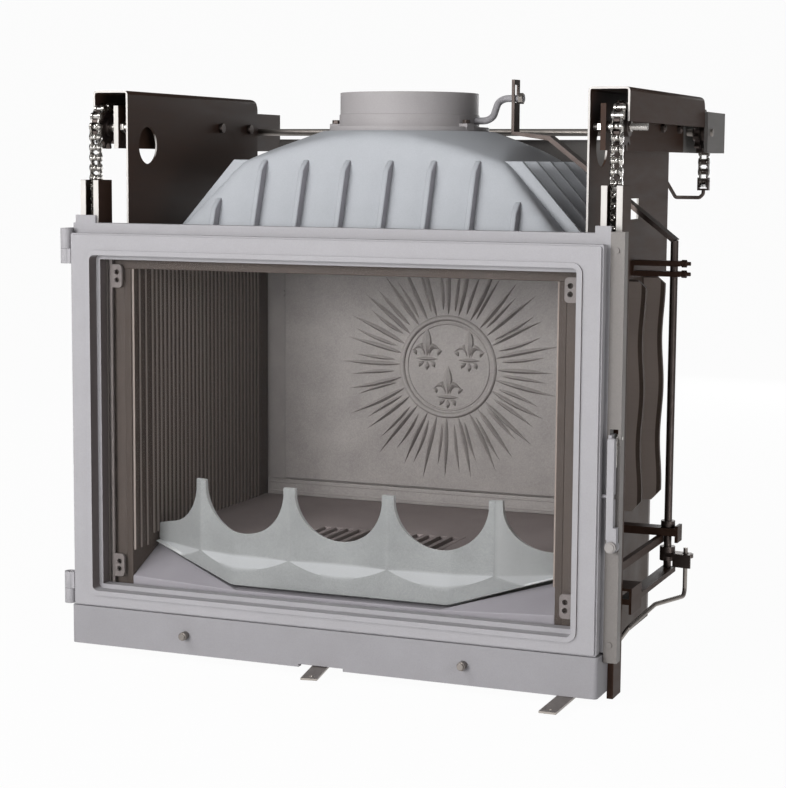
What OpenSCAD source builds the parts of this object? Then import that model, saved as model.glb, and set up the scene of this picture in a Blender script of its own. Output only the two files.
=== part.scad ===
// Fireplace insert with a lifting door.
// A cast iron firebox stands behind a glazed door. The door hangs on hinges in a carriage, the carriage
// slides up in two C-channels, and two roller chains carry it over sprockets to a counterweight behind.
// Millimetres, +Z up. The flue axis is x = 0, y = 0, the hearth it stands on is z = 0, the door faces -Y.

/* [Door] */
// Width of the cast door frame
door_w = 846; // [820:1:856]
// Height of the cast door frame
door_h = 580; // [540:1:600]
// Distance from the flue axis to the face of the door
door_face = 345; // [340:1:360]
// Thickness of the door frame
door_t = 18; // [16:1:20]
// Width of the stiles at the sides of the glass opening
door_stile = 36; // [32:1:40]
// Height of the rail under the glass opening
door_rail_low = 26; // [24:1:30]
// Height of the rail over the glass opening
door_rail_top = 33; // [30:1:40]
// Width of the raised bead round the glass opening
bead_w = 7.5; // [5:0.5:10]
// Height of the bead over the door face
bead_h = 3; // [2:0.5:4]
// Thickness of the ceramic glass
glass_t = 4; // [3:1:5]
// Radius of the hinge pins
hinge_pin_r = 4; // [3:0.5:5]
// Outer radius of the hinge knuckles
knuckle_r = 9; // [8:0.5:9.5]
// How far the hinge axis stands off the edge of the door
hinge_off = 10; // [10:0.5:12]

/* [Carriage and channels] */
// Depth of the carriage, front to back
carriage_t = 24; // [22:1:26]
// Gap between door and carriage, filled by the rope seal
seal_gap = 6; // [5:0.5:8]
// Height of the carriage over the top of the door
carriage_top = 15; // [12:1:20]
// Width of the C-channels
channel_w = 32; // [30:1:34]
// Depth of the C-channels
channel_d = 42; // [40:1:46]
// Sheet thickness of the C-channels
channel_t = 3; // [2:0.5:3.5]
// Width of the slot down the front of the C-channels
channel_slot = 13; // [12:0.5:15]
// Height of the C-channels
channel_h = 733; // [720:1:745]
// Distance from the middle of the object to the middle of a channel
lane_x = 418.6; // [417:0.2:420]
// Width of the latch post at the right of the door
post_w = 20; // [18:1:22]

/* [Chain lift] */
// Pitch of the roller chain
pitch = 15.875; // [15.5:0.025:16.2]
// Teeth on each sprocket
teeth = 12; // [12:1:12]
// Height of the sprocket axles
axle_z = 815; // [810:1:818]
// Links of chain hanging in the channel
links_front = 32; // [30:2:34]
// Links of chain between the two sprockets
links_top = 30; // [30:2:32]
// Links of chain hanging at the back
links_rear = 5; // [5:1:6]
// Radius of the front axles
axle_r = 5; // [4:0.5:6]
// Radius of the rear shaft
shaft_r = 6; // [5:0.5:7]
// Length of the counterweight bar
weight_w = 700; // [660:5:710]
// Height of the counterweight bar
weight_h = 80; // [70:1:84]
// Depth of the counterweight bar
weight_t = 38; // [30:1:40]

/* [Brackets] */
// Distance from the middle of the object to the outer face of a bracket's side plate
bracket_x = 374; // [373:1:376]
// Width of a bracket over the chain
bracket_w = 58; // [57:1:60]
// Height of the top of the brackets
bracket_top = 871; // [868:1:880]
// Sheet thickness of the brackets
sheet = 3; // [2:0.5:3]
// Depth of the outer lip of a bracket
lip_h = 48; // [40:1:49]
// Length of the brackets behind the front axle
bracket_back = 447.5; // [430:0.5:455]
// Radius of the round opening in a bracket's side plate
bracket_hole_r = 29; // [24:1:32]
// Height of the yokes that carry the axles
yoke_h = 66; // [60:1:68]
// Thickness of the inner arm of a yoke
yoke_t = 8; // [6:1:9]

/* [Firebox] */
// Width inside the firebox, between the crests of the fluting
box_w = 684; // [660:2:690]
// Distance from the flue axis to the face of the fireback
box_back = 189; // [180:1:195]
// Wall thickness of the castings
wall = 10; // [8:1:12]
// Height of the top of the firebox walls
wall_top = 597; // [590:1:605]
// Height of the hearth floor
floor_z = 172; // [165:1:178]
// Height of the sill behind the door
sill_z = 107; // [104:1:110]
// Crest radius of the fine fluting
flute_r = 4; // [3:0.5:5]
// Spacing of the fine fluting
flute_pitch = 13.6; // [12:0.2:15]
// Number of fine flutes on a wall
flute_n = 29; // [20:1:29]
// How far the outer fins of a wall stand out
fin_reach = 37; // [30:1:37]
// Radius of the ring on the fireback
ring_r = 84; // [70:1:90]
// Outer radius of the rays on the fireback
ray_r = 200; // [180:1:205]
// Number of rays on the fireback
ray_n = 56; // [40:4:60]

/* [Log guard] */
// Spacing of the prongs
prong_pitch = 162; // [158:1:164]
// Width of a prong
prong_w = 19; // [16:1:22]
// Height of the tips of the prongs
prong_z = 270; // [255:1:280]
// Height of the low points between the prongs
scallop_z = 191.5; // [188:0.5:200]

/* [Hood and flue] */
// Outer radius of the flue collar
collar_r = 110.75; // [105:0.25:115]
// Height of the top of the flue collar
collar_top = 872.5; // [865:0.5:880]
// Wall thickness of the flue collar
collar_t = 8; // [6:0.5:10]
// Height of the flat seat on top of the hood
hood_top = 812; // [806:1:814]
// Wall thickness of the hood
hood_t = 8; // [6:1:10]
// Spacing of the ribs on the front of the hood
rib_pitch = 70.5; // [66:0.5:72]
// Thickness of the ribs and fins on the hood
rib_t = 7; // [5:0.5:9]
// Radius of the damper crank
crank_r = 51; // [46:1:52]
// Radius of the damper spindle
spindle_r = 5.5; // [4.5:0.5:6]

/* [Base] */
// Height of the cast plinth under the door
plinth_h = 60; // [56:1:64]
// Gap under the plinth
plinth_lift = 12; // [12:1:14]
// Half the width of the plinth
plinth_half = 426; // [424:1:426]
// Distance of the two studs on the plinth from the middle
stud_x = 226; // [200:1:250]
// Width of the air control strips
strip_w = 25; // [20:1:28]
// Thickness of the air control strips
strip_t = 3; // [2:0.5:3]

/* [Hidden] */
$fn = 48;

// Colours of the finishes
cast_grey = "#A3A1A3";
cast_pale = "#B9BCC1";
cast_green = "#A2A5A3";
cast_dark = "#4A403D";
fire_grey = "#85817E";
sheet_dark = "#3A302D";
steel_bright = "#C9C6C0";
steel_dark = "#575050";

// Clearance of a fixed pin in its hole, of a turning shaft in its bore, and of pieces that pass each other
snug = 0.02;
run = 0.05;
gap = 0.4;

// Levels from the hearth up
plinth_top = plinth_lift + plinth_h;
door_z0 = plinth_top + 0.5;
door_z1 = door_z0 + door_h;
open_z0 = door_z0 + door_rail_low;
open_z1 = door_z1 - door_rail_top;
open_half = door_w / 2 - door_stile;

// Levels from the door back
door_y = -door_face;
carriage_y = door_y + door_t + seal_gap;
carriage_back = carriage_y + carriage_t;
channel_y = carriage_back + 6;
channel_back = channel_y + channel_d;
frame_y = carriage_back + 4;
frame_t = 12;

// Rim behind the door that holds the glass
rim_half = open_half + 6.5;
rim_in = open_half - 7;
rim_z0 = open_z0 - 6.5;
rim_z1 = open_z1 + 6.5;
rim_back = door_y + door_t + 18;
glass_half = open_half - 4;
glass_y = rim_back + 1.5;
clip_y = glass_y + glass_t;

// Carriage opening and outline
carriage_in = rim_half + 2.5;
carriage_left = -door_w / 2 - 7;
carriage_right = door_w / 2 + 4;
carriage_z0 = door_z0 + 2;
carriage_z1 = door_z1 + carriage_top;

// Hinge axis
hinge_x = -door_w / 2 - hinge_off;
hinge_y = door_y + 8;

// Chain path
sprocket_r = pitch / (2 * sin(180 / teeth));
roller_r = pitch * 0.32;
run_y = channel_y + channel_d / 2;
axle_y = run_y + sprocket_r;
shaft_y = axle_y + links_top * pitch;
rear_y = shaft_y + sprocket_r;
arc_links = teeth / 4;
anchor_z = axle_z - links_front * pitch;
rear_end_z = axle_z - links_rear * pitch;
hub_w = 20;
plate_in = 4.9;
plate_t = 1.8;
inner_r = 7.2;
outer_r = 6.5;
chain_half = plate_in + 2 * plate_t + 0.3;

// Yokes
yoke_in = bracket_x + 15;
yoke_out = lane_x + chain_half + 8.5;
yoke_z = axle_z - yoke_h / 2;
yoke_y0 = axle_y - 12.5;
yoke_y1 = shaft_y + 103;

// Brackets
bracket_y0 = axle_y - 14.5;
bracket_y1 = axle_y + bracket_back;
bracket_z0 = wall_top - 9;
bracket_out = bracket_x + bracket_w;
yoke_bolt_y = [axle_y + 303.5, axle_y + 411.5];

// Firebox shell
wall_in = box_w / 2 + flute_r;
wall_out = wall_in + wall;
flange_out = bracket_x - sheet;
back_face = box_back + 8;
back_out = back_face + wall;
floor_t = 12;

// Log guard: foot line from wall to wall, with its two bends
foot_y = frame_y + 8;
foot_end_y = foot_y + 58;
foot_bend = prong_pitch + 16;
foot_half = box_w / 2 - 1;
foot_end_z = sill_z + 45;
guard_t = 18;

// Grate opening in the floor
grate_half = 125;
grate_y = [foot_y + 92, foot_y + 228];

// Hood: slope of its front, sides and crown
hood_base = wall_top + 10;
front_slope = 0.33;
side_slope = 0.894;
crown_slope = 2.7;
seat_r = collar_r + 28;
hood_front = 218;
hood_side = 358;
hood_rear = back_out - 2;

// Directions of the bolt lugs of the collar
lug_at = [-20, 100, 195];

// Damper linkage
spindle_z = hood_top + 17;
collar_in = collar_r - collar_t;
rod_x = bracket_x + 64;
strap_reach = rod_x - 162;
strap_turn = asin(crank_r * sin(45) / strap_reach);
strap_knee = hood_top - 4;
strap_mid_x = bracket_x - 148;
strap_mid_z = strap_knee - 9;
pull_arm = 30;
rod_r = 6;
rod_z0 = 150;
foot_bar_z = rod_z0 - 20;
guide_low_z = 190;
guide_top_z = wall_top + 3;
strap_foot = guide_top_z + 45;
strap_z = strap_mid_z + (strap_foot - strap_mid_z) * (bracket_x - strap_mid_x) / (rod_x - strap_mid_x);
strip_x = rod_x - 58.5;
strip_tip_y = door_y - 84;

// Air control lever
lever_px = -28;
lever_py = door_y + 140;
lever_rest = 10.6;
shutter_reach = 150;
lever_z = plinth_lift + 0.5;

// Latch
post_x = carriage_right;
latch_x = post_x + 5;
latch_z = door_z0 + 309;
latch_y = carriage_y + 9;
latch_drop = 151;
keeper_z = latch_z - 81;
keeper_y = carriage_y - 7;
keeper_r = 3;
pocket_h = 26;

// Draws an outline of x and z between two depths
module slab_xz(y0, y1) {
    translate([0, y1, 0]) rotate([90, 0, 0]) linear_extrude(y1 - y0) children();
}

// Draws an outline of y and z between two widths
module slab_yz(x0, x1) {
    translate([x0, 0, 0]) rotate([90, 0, 90]) linear_extrude(x1 - x0) children();
}

// A copy on each side of the middle
module pair() {
    children();
    mirror([1, 0, 0]) children();
}

// Rectangle from corner to corner
module rect(x0, z0, x1, z1) {
    translate([x0, z0]) square([x1 - x0, z1 - z0]);
}

// Rectangle with round corners
module round_rect(x0, z0, x1, z1, r) {
    rect(x0 + r, z0, x1 - r, z1);
    rect(x0, z0 + r, x1, z1 - r);
    for (x = [x0 + r, x1 - r], z = [z0 + r, z1 - r]) translate([x, z]) circle(r);
}

// Rectangular frame with round corners inside and out
module ring(half, z0, z1, w, r) {
    difference() {
        round_rect(-half, z0, half, z1, r);
        round_rect(-half + w, z0 + w, half - w, z1 - w, max(r - w, 1));
    }
}

// Block from corner to corner
module block(a, b) {
    translate(a) cube(b - a);
}

// Round bar along Y
module bar_y(x, z, y0, y1, r) {
    translate([x, y1, z]) rotate([90, 0, 0]) cylinder(h = y1 - y0, r = r);
}

// Round bar along X
module bar_x(x0, x1, y, z, r) {
    translate([x0, y, z]) rotate([0, 90, 0]) cylinder(h = x1 - x0, r = r);
}

// Hexagon along X
module hex_x(x0, x1, y, z, r) {
    translate([x0, y, z]) rotate([0, 90, 0]) cylinder(h = x1 - x0, r = r, $fn = 6);
}

// Points of a bent rod: each corner is rounded from s before it to s after it
function eased(p, s) = concat([p[0]], [
    for (i = [1 : len(p) - 2], k = [0 : 4]) let (
        u = k / 4,
        a = p[i] + s * (p[i - 1] - p[i]) / norm(p[i - 1] - p[i]),
        b = p[i] + s * (p[i + 1] - p[i]) / norm(p[i + 1] - p[i])
    ) (1 - u) * (1 - u) * a + 2 * u * (1 - u) * p[i] + u * u * b
], [p[len(p) - 1]]);

// Wire swept through a list of points, none of them running along the direction across
module wire(p, r, sides, across) {
    last = len(p) - 1;
    t = [for (i = [0 : last]) p[min(i + 1, last)] - p[max(i - 1, 0)]];
    u = [for (i = [0 : last]) cross(t[i], across) / norm(cross(t[i], across))];
    w = [for (i = [0 : last]) cross(t[i], u[i]) / norm(cross(t[i], u[i]))];
    polyhedron(
        points = [for (i = [0 : last], k = [0 : sides - 1])
            p[i] + r * (u[i] * cos(360 * k / sides) + w[i] * sin(360 * k / sides))],
        faces = concat(
            [[for (k = [0 : sides - 1]) k], [for (k = [sides - 1 : -1 : 0]) last * sides + k]],
            [for (i = [0 : last - 1], k = [0 : sides - 1])
                [i * sides + k, (i + 1) * sides + k, i * sides + (k + 1) % sides]],
            [for (i = [0 : last - 1], k = [0 : sides - 1])
                [i * sides + (k + 1) % sides, (i + 1) * sides + k, (i + 1) * sides + (k + 1) % sides]]
        )
    );
}

// Foot line of the log guard, moved back by d
function foot_line(d) = [
    [-foot_half, foot_end_y + d], [-foot_bend, foot_y + d], [foot_bend, foot_y + d],
    [foot_half, foot_end_y + d]
];

// Strip of ground between two copies of the foot line
module foot_band(d0, d1) {
    a = foot_line(d0);
    b = foot_line(d1);
    polygon([a[0], a[1], a[2], a[3], b[3], b[2], b[1], b[0]]);
}

// Pan under the hearth, on three runners, with the rails of the ash pan and the stud of the air lever
module base_pan() {
    inlet = lever_rest - 7;
    color(sheet_dark) difference() {
        union() {
            block([-wall_out, frame_y + frame_t, plinth_lift - 3], [wall_out, back_out, plinth_lift]);
            for (x = [-300, 0, 300]) {
                block([x - 15, frame_y + 20, 0], [x + 15, back_out - 10, plinth_lift - 3]);
            }
            pair() block([104, grate_y[0] + 6, plinth_lift], [114, grate_y[1] - 6, plinth_lift + 12]);
            translate([lever_px, lever_py, plinth_lift - 1]) cylinder(h = strip_t + 5, r = 5);
        }
        translate([lever_px, lever_py, 0]) rotate(inlet) {
            translate([0, shutter_reach, -1]) cylinder(h = plinth_lift + 2, r = 18);
        }
    }
}

// Cast plinth under the door: face, ledge and two ends that reach back to the channels
module plinth() {
    r = 6;
    slot = 36;
    color(cast_grey) difference() {
        translate([0, 0, plinth_lift]) linear_extrude(plinth_h) {
            union() {
                translate([-plinth_half + r, door_y]) square([2 * (plinth_half - r), wall]);
                pair() {
                    translate([plinth_half - r, door_y + r]) circle(r);
                    rect(plinth_half - wall, door_y + r, plinth_half, channel_y);
                }
            }
        }
        block([-slot, door_y - 1, plinth_lift - 1], [slot, door_y + wall + 1, plinth_lift + 4.5]);
    }
    color(cast_grey) block(
        [-plinth_half + wall, door_y + wall, plinth_top - 8],
        [plinth_half - wall, door_y + door_t, plinth_top]
    );
}

// Two round studs on the face of the plinth
module plinth_studs() {
    color(steel_bright) for (x = [-stud_x, stud_x]) {
        bar_y(x, plinth_lift + plinth_h / 2, door_y - 12, door_y, 6.5);
        bar_y(x, plinth_lift + plinth_h / 2, door_y - 15, door_y - 12, 5);
    }
}

// One flank of the sill: a facet that climbs from the foot of the log guard to the wall
module sill_flank() {
    x0 = foot_bend;
    x1 = wall_in;
    front = frame_y;
    zc = sill_z + 8;
    top = [
        [x0, front, sill_z], [x1, front, zc], [x1, foot_end_y + guard_t, foot_end_z],
        [x0, foot_y + guard_t, sill_z]
    ];
    low = [for (p = top) [p[0], p[1], sill_z - wall]];
    polyhedron(points = concat(low, top), faces = [
        [0, 1, 2, 3], [4, 7, 6], [4, 6, 5], [0, 4, 5, 1], [1, 5, 6, 2], [2, 6, 7, 3], [3, 7, 4, 0]
    ]);
}

// Sill between the front frame and the log guard
module front_sill() {
    color(cast_pale) {
        block([-foot_bend, frame_y, sill_z - wall], [foot_bend, foot_y + guard_t, sill_z]);
        pair() sill_flank();
    }
}

// Hearth floor with a riser down to the sill and a rebated opening for the grate
module hearth_floor() {
    front = foot_line(guard_t + 0.5);
    color(cast_dark) difference() {
        union() {
            translate([0, 0, floor_z - floor_t]) linear_extrude(floor_t) polygon([
                [-wall_in, front[0][1]], front[0], front[1], front[2], front[3],
                [wall_in, front[3][1]], [wall_in, box_back], [-wall_in, box_back]
            ]);
            translate([0, 0, foot_end_z]) linear_extrude(floor_z - floor_t - foot_end_z)
                foot_band(guard_t + 0.5, guard_t + 8.5);
        }
        block([-grate_half, grate_y[0], floor_z - 8], [grate_half, grate_y[1], floor_z + 1]);
        block([-grate_half + 6, grate_y[0] + 6, 0], [grate_half - 6, grate_y[1] - 6, floor_z + 1]);
    }
}

// Loose grate, a frame with bars
module grate() {
    x = grate_half - gap;
    n = 12;
    step = (2 * x - 8) / n;
    color(steel_dark) translate([0, 0, floor_z - 8]) linear_extrude(8) difference() {
        rect(-x, grate_y[0] + gap, x, grate_y[1] - gap);
        for (i = [0 : n - 1]) {
            x0 = -x + 8 + i * step;
            rect(x0, grate_y[0] + 10, x0 + step - 8, grate_y[1] - 10);
        }
    }
}

// Ash pan under the grate, lifted out through the grate opening
module ash_pan() {
    x = grate_half - 10;
    y0 = grate_y[0] + 10;
    y1 = grate_y[1] - 10;
    z = plinth_lift + 12;
    color(steel_dark) difference() {
        block([-x, y0, z], [x, y1, z + 70]);
        block([-x + 2, y0 + 2, z + 2], [x - 2, y1 - 2, z + 71]);
    }
}

// Outline of the log guard seen from the front: scalloped top, foot that climbs to the walls
module guard_outline(top) {
    half = (prong_pitch - prong_w) / 2;
    rise = prong_z - scallop_z;
    arc = (half * half + rise * rise) / (2 * rise);
    last = 2 * prong_pitch - 12;
    difference() {
        polygon([
            [-foot_half, foot_end_z], [-foot_bend, sill_z], [foot_bend, sill_z], [foot_half, foot_end_z],
            [foot_half, top], [-foot_half, top]
        ]);
        for (i = [-2 : 2]) translate([i * prong_pitch, scallop_z + arc]) circle(arc, $fn = 96);
        pair() polygon([
            [last, scallop_z + 1.5], [foot_half + 1, scallop_z - 5], [foot_half + 1, top + 1], [last, top + 1]
        ]);
    }
}

// Ball that scoops the pocket of a bay, touching the guard d behind its face
module scoop(x, y, turn, z) {
    scoop_r = 300;
    translate([x, y, z + 132]) rotate(turn) translate([0, 24 - scoop_r, 0]) sphere(scoop_r, $fn = 96);
}

// Scalloped log guard: wall, prongs, and a skirt with a scooped pocket in each bay
module log_guard() {
    face = 8;
    skirt_z = sill_z + 51;
    flank = atan2(foot_end_y - foot_y, foot_half - foot_bend);
    color(cast_green) {
        intersection() {
            linear_extrude(prong_z + 10) foot_band(face, guard_t);
            slab_xz(foot_y - 20, foot_end_y + 40) guard_outline(prong_z);
        }
        difference() {
            intersection() {
                linear_extrude(prong_z + 10) foot_band(0, face);
                slab_xz(foot_y - 20, foot_end_y + 40) intersection() {
                    guard_outline(prong_z);
                    union() {
                        rect(-foot_half - 1, 0, foot_half + 1, skirt_z);
                        for (i = [-1.5 : 1.5]) {
                            rect(i * prong_pitch - prong_w / 2 + 1.5, 0,
                                i * prong_pitch + prong_w / 2 - 1.5, prong_z + 1);
                        }
                    }
                }
            }
            for (i = [-1 : 1]) scoop(i * prong_pitch, foot_y, 0, sill_z + 10);
            pair() scoop(2 * prong_pitch - 32, foot_end_y - 17.4, flank, sill_z + 20);
        }
    }
}

// Cast frame round the mouth of the firebox
module front_frame() {
    x = lane_x - channel_w / 2;
    color(cast_dark) slab_xz(frame_y, frame_y + frame_t) difference() {
        rect(-x, plinth_lift + 5, x, carriage_z1 - 25);
        rect(-wall_out, sill_z - wall, wall_out, wall_top);
    }
}

// Side wall: fluted face inside, wavy fins outside, flange on top for the hood and the bracket
module side_wall() {
    fins = [-120, 0, 120];
    wave = 8;
    wave_len = 162;
    z0 = floor_z + 50;
    z1 = wall_top - 12;
    big_r = 7;
    first = frame_y + 9;
    color(cast_dark) {
        difference() {
            union() {
                block([-wall_out, frame_y + frame_t, plinth_lift], [-wall_in, back_face, wall_top]);
                block([-wall_out, frame_y, sill_z - wall], [-wall_in, frame_y + frame_t, wall_top]);
                translate([-wall_in, 0, floor_z]) linear_extrude(wall_top - floor_z) {
                    for (i = [0 : flute_n - 1]) {
                        translate([0, frame_y + 68 + i * flute_pitch]) circle(flute_r, $fn = 16);
                    }
                }
                translate([-wall_in, 0, foot_end_z + 4]) linear_extrude(wall_top - foot_end_z - 4) {
                    for (i = [0 : 2]) translate([0, first + i * 20]) circle(big_r, $fn = 24);
                }
            }
            block([-wall_in + flute_r, frame_y - 20, 0], [0, back_face, wall_top + 1]);
        }
        block([-wall_in, foot_end_y + guard_t + 12, floor_z - floor_t - 10],
            [-wall_in + 12, back_face - 10, floor_z - floor_t]);
        block([-flange_out, channel_back + 12, wall_top - 9], [-wall_out, back_out, wall_top]);
        for (y = fins) intersection() {
            slab_yz(-wall_out - fin_reach, -wall_out) polygon(concat(
                [for (z = [z0 : 9 : z1 + 1]) [y - 4 + wave * cos(360 * (z1 - 14 - z) / wave_len), z]],
                [for (z = [z1 + 1 : -9 : z0]) [y + 4 + wave * cos(360 * (z1 - 14 - z) / wave_len), z]]
            ));
            slab_xz(y - 20, y + 20) polygon([
                [-wall_out - fin_reach, z1 - 12], [-wall_out - fin_reach + 14, z1], [-wall_out, z1],
                [-wall_out, z0], [-wall_out - fin_reach + 14, z0], [-wall_out - fin_reach, z0 + 16]
            ]);
        }
    }
}

module side_wall_left() {
    side_wall();
}

module side_wall_right() {
    mirror([1, 0, 0]) side_wall();
}

// Back wall with the skirting strip at the foot of the fireback
module back_wall() {
    color(cast_dark) block([-wall_out, back_face, plinth_lift], [wall_out, back_out, wall_top]);
    color(fire_grey) block(
        [-wall_in + flute_r, box_back, floor_z], [wall_in - flute_r, back_face, floor_z + 28]
    );
}

// One lily: a pointed petal between two curled ones, over a band and a short foot
module lily(s) {
    scale(s) {
        intersection() {
            translate([-9, 6]) circle(16);
            translate([9, 6]) circle(16);
        }
        pair() difference() {
            translate([9, -1]) circle(8);
            translate([10, -4]) circle(5.2);
            rect(4, -12, 20, -5);
        }
        rect(-11, -11, 11, -8);
        intersection() {
            translate([0, -11]) circle(7);
            rect(-7, -19, 7, -11);
        }
    }
}

// Fireback plate with a cast sun: a double ring, tapering rays and three lilies
module fireback() {
    half = box_w / 2 - 33;
    z0 = floor_z + 30;
    cz = floor_z + 243;
    relief = 2.5;
    color(fire_grey) {
        slab_xz(box_back, back_face) round_rect(-half, z0, half, wall_top - 7, 6);
        slab_xz(box_back - relief, box_back) translate([0, cz]) {
            difference() {
                circle(ring_r + 2);
                circle(ring_r - 2);
            }
            difference() {
                circle(ring_r - 6);
                circle(ring_r - 9);
            }
            for (i = [0 : ray_n - 1]) {
                long = i % 2 == 0;
                rotate(i * 360 / ray_n) translate([0, ring_r + 12]) polygon([
                    [-1.2, 0], [1.2, 0], [long ? 3.6 : 2.4, (ray_r - ring_r) * 0.7],
                    [0, long ? ray_r - ring_r - 12 : ray_r - ring_r - 30],
                    [long ? -3.6 : -2.4, (ray_r - ring_r) * 0.7]
                ]);
            }
            for (p = [[-34, 24], [34, 24], [0, -34]]) translate(p) lily(1.25);
        }
    }
}

// Heads of the bolts that hold the fireback
module fireback_bolts() {
    half = box_w / 2 - 33;
    color(fire_grey) for (x = [-half - 5, half + 5], z = [floor_z + 128, floor_z + 360]) {
        bar_y(x, z, back_face - 5, back_face, 4.6);
    }
}

// Solid form of the hood, drawn in by d: sloping front, back and sides under a shallow conical crown
module hood_form(d) {
    x0 = hood_side - d * 1.35;
    y0 = hood_front - d * 1.06;
    y1 = hood_rear - d * 1.06;
    z0 = hood_base;
    top = hood_top - d;
    h = top - z0;
    intersection() {
        slab_xz(-y0 - 1, y1 + 1)
            polygon([[-x0, z0], [x0, z0], [x0 - side_slope * h, top], [-x0 + side_slope * h, top]]);
        slab_yz(-x0 - 1, x0 + 1)
            polygon([[-y0, z0], [y1, z0], [y1 - front_slope * h, top], [-y0 + front_slope * h, top]]);
        translate([0, 0, z0]) cylinder(h = h, r1 = seat_r + crown_slope * h, r2 = seat_r, $fn = 96);
    }
}

// Smoke hood: base flange, thin shell, ribs down the front and fins down the sides
module hood() {
    low = hood_base + 18;
    high = hood_base + 159;
    reach = 12;
    fin = 24;
    function front_y(z) = -hood_front + front_slope * (z - hood_base);
    function side_x(z) = hood_side - side_slope * (z - hood_base);
    color(cast_pale) difference() {
        union() {
            block([-flange_out, frame_y + frame_t, wall_top], [flange_out, back_out, hood_base]);
            hood_form(0);
            for (i = [0 : 3]) {
                top = i == 3 ? hood_base + 99 : high;
                pair() slab_yz((i + 0.5) * rib_pitch - rib_t / 2, (i + 0.5) * rib_pitch + rib_t / 2) polygon([
                    [front_y(low) + 2, low], [front_y(low) - reach + 3, low],
                    [front_y(low + 8) - reach, low + 8],
                    [front_y(top - 10) - reach, top - 10], [front_y(top) - 3, top], [front_y(top) + 2, top]
                ]);
            }
            for (i = [0 : 4]) {
                y = -145 + i * rib_pitch;
                pair() slab_xz(y - rib_t / 2, y + rib_t / 2) polygon([
                    [side_x(low) - 3, low], [side_x(low) + fin, low], [side_x(high) + fin, high],
                    [side_x(high) - 3, high]
                ]);
            }
        }
        hood_form(hood_t);
        block([-wall_in + 6, hood_t + 1 - hood_front, wall_top - 1],
            [wall_in - 6, hood_rear - hood_t - 1, hood_base + 0.01]);
        translate([0, 0, hood_top - 30]) cylinder(h = 40, r = collar_in);
    }
}

// Bolts that hold the hood down on the walls
module hood_bolts() {
    color(steel_dark) for (x = [-330, 0, 330]) {
        translate([x, frame_y + 30, hood_base]) cylinder(h = 6, r = 8, $fn = 6);
    }
}

// Flue collar with its flange and three bolt lugs
module flue_collar() {
    stop = spindle_z + 10;
    step = 1.5;
    color(cast_grey) difference() {
        union() {
            translate([0, 0, hood_top]) cylinder(h = 7, r = collar_r + 17);
            translate([0, 0, hood_top]) cylinder(h = collar_top - hood_top, r = collar_r, $fn = 96);
            translate([0, 0, hood_top]) cylinder(h = stop - step - hood_top, r = collar_r + step, $fn = 96);
            translate([0, 0, stop - step]) cylinder(h = step, r1 = collar_r + step, r2 = collar_r, $fn = 96);
            for (a = lug_at) rotate(a) {
                block([collar_r - 3, -9, hood_top], [collar_r + 17, 9, hood_top + 12]);
            }
        }
        translate([0, 0, hood_top - 1]) cylinder(h = collar_top - hood_top + 2, r = collar_in, $fn = 96);
        bar_x(-collar_r - 6, collar_r + 6, 0, spindle_z, spindle_r + run);
    }
}

// Hexagon heads on the lugs of the flue collar
module collar_bolts() {
    color(steel_dark) for (a = lug_at) rotate(a) {
        translate([collar_r + 8, 0, hood_top + 12]) cylinder(h = 6, r = 6.5, $fn = 6);
    }
}

// C-channel with a slot down its front
module channel(side) {
    c = lane_x;
    w = channel_w / 2;
    s = channel_slot / 2;
    color(sheet_dark) translate([side * c, 0, 0]) linear_extrude(channel_h) difference() {
        rect(-w, channel_y, w, channel_back);
        rect(-w + channel_t, channel_y + channel_t, w - channel_t, channel_back - channel_t);
        rect(-s, channel_y - 1, s, channel_y + channel_t + 1);
    }
}

module channel_left() {
    channel(-1);
}

module channel_right() {
    channel(1);
}

// Bent sheet bracket over the chain: side plate, top and outer lip
module bracket(window) {
    r = 20;
    bend = 6;
    color(sheet_dark) difference() {
        slab_xz(bracket_y0, bracket_y1) difference() {
            round_rect(bracket_x - sheet, bracket_z0 - bend, bracket_out, bracket_top, bend);
            round_rect(
                bracket_x, bracket_z0 - 2 * bend, bracket_out - sheet, bracket_top - sheet, bend - sheet);
            rect(bracket_x, bracket_z0 - 2 * bend, bracket_out + 1, bracket_top - lip_h);
            rect(bracket_x - sheet - 1, bracket_z0 - 2 * bend, bracket_x + 1, bracket_z0);
        }
        bar_x(bracket_x - 10, bracket_x + 10, axle_y + 50, axle_z - 28, bracket_hole_r);
        slab_yz(bracket_x - 10, bracket_out + 1) difference() {
            rect(bracket_y1 - r, bracket_top - r, bracket_y1 + 1, bracket_top + 1);
            translate([bracket_y1 - r, bracket_top - r]) circle(r);
        }
        for (y = yoke_bolt_y) bar_x(bracket_x - 10, bracket_x + 10, y, axle_z + 4, 4 + run);
        if (window) block([bracket_x - 10, -22, strap_z - 13], [bracket_x + 10, 22, strap_z + 19]);
    }
}

module bracket_left() {
    mirror([1, 0, 0]) bracket(false);
}

module bracket_right() {
    bracket(true);
}

// Yoke: long inner arm with both axle bores, closed round the rear sprocket
module yoke() {
    color(sheet_dark) difference() {
        union() {
            block([yoke_in, yoke_y0, yoke_z], [yoke_in + yoke_t, yoke_y1, yoke_z + yoke_h]);
            block([yoke_in, yoke_y1 - 6, yoke_z], [yoke_out, yoke_y1, yoke_z + yoke_h]);
            block([yoke_out - 6, bracket_y1 + 6, yoke_z], [yoke_out, yoke_y1, yoke_z + yoke_h]);
        }
        bar_x(yoke_in - 5, yoke_in + 20, axle_y, axle_z, axle_r + snug);
        bar_x(yoke_in - 5, yoke_out + 5, shaft_y, axle_z, shaft_r + run);
        for (y = yoke_bolt_y) bar_x(yoke_in - 5, yoke_in + 20, y, axle_z + 4, 4 + run);
    }
}

module yoke_left() {
    mirror([1, 0, 0]) yoke();
}

module yoke_right() {
    yoke();
}

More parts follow.
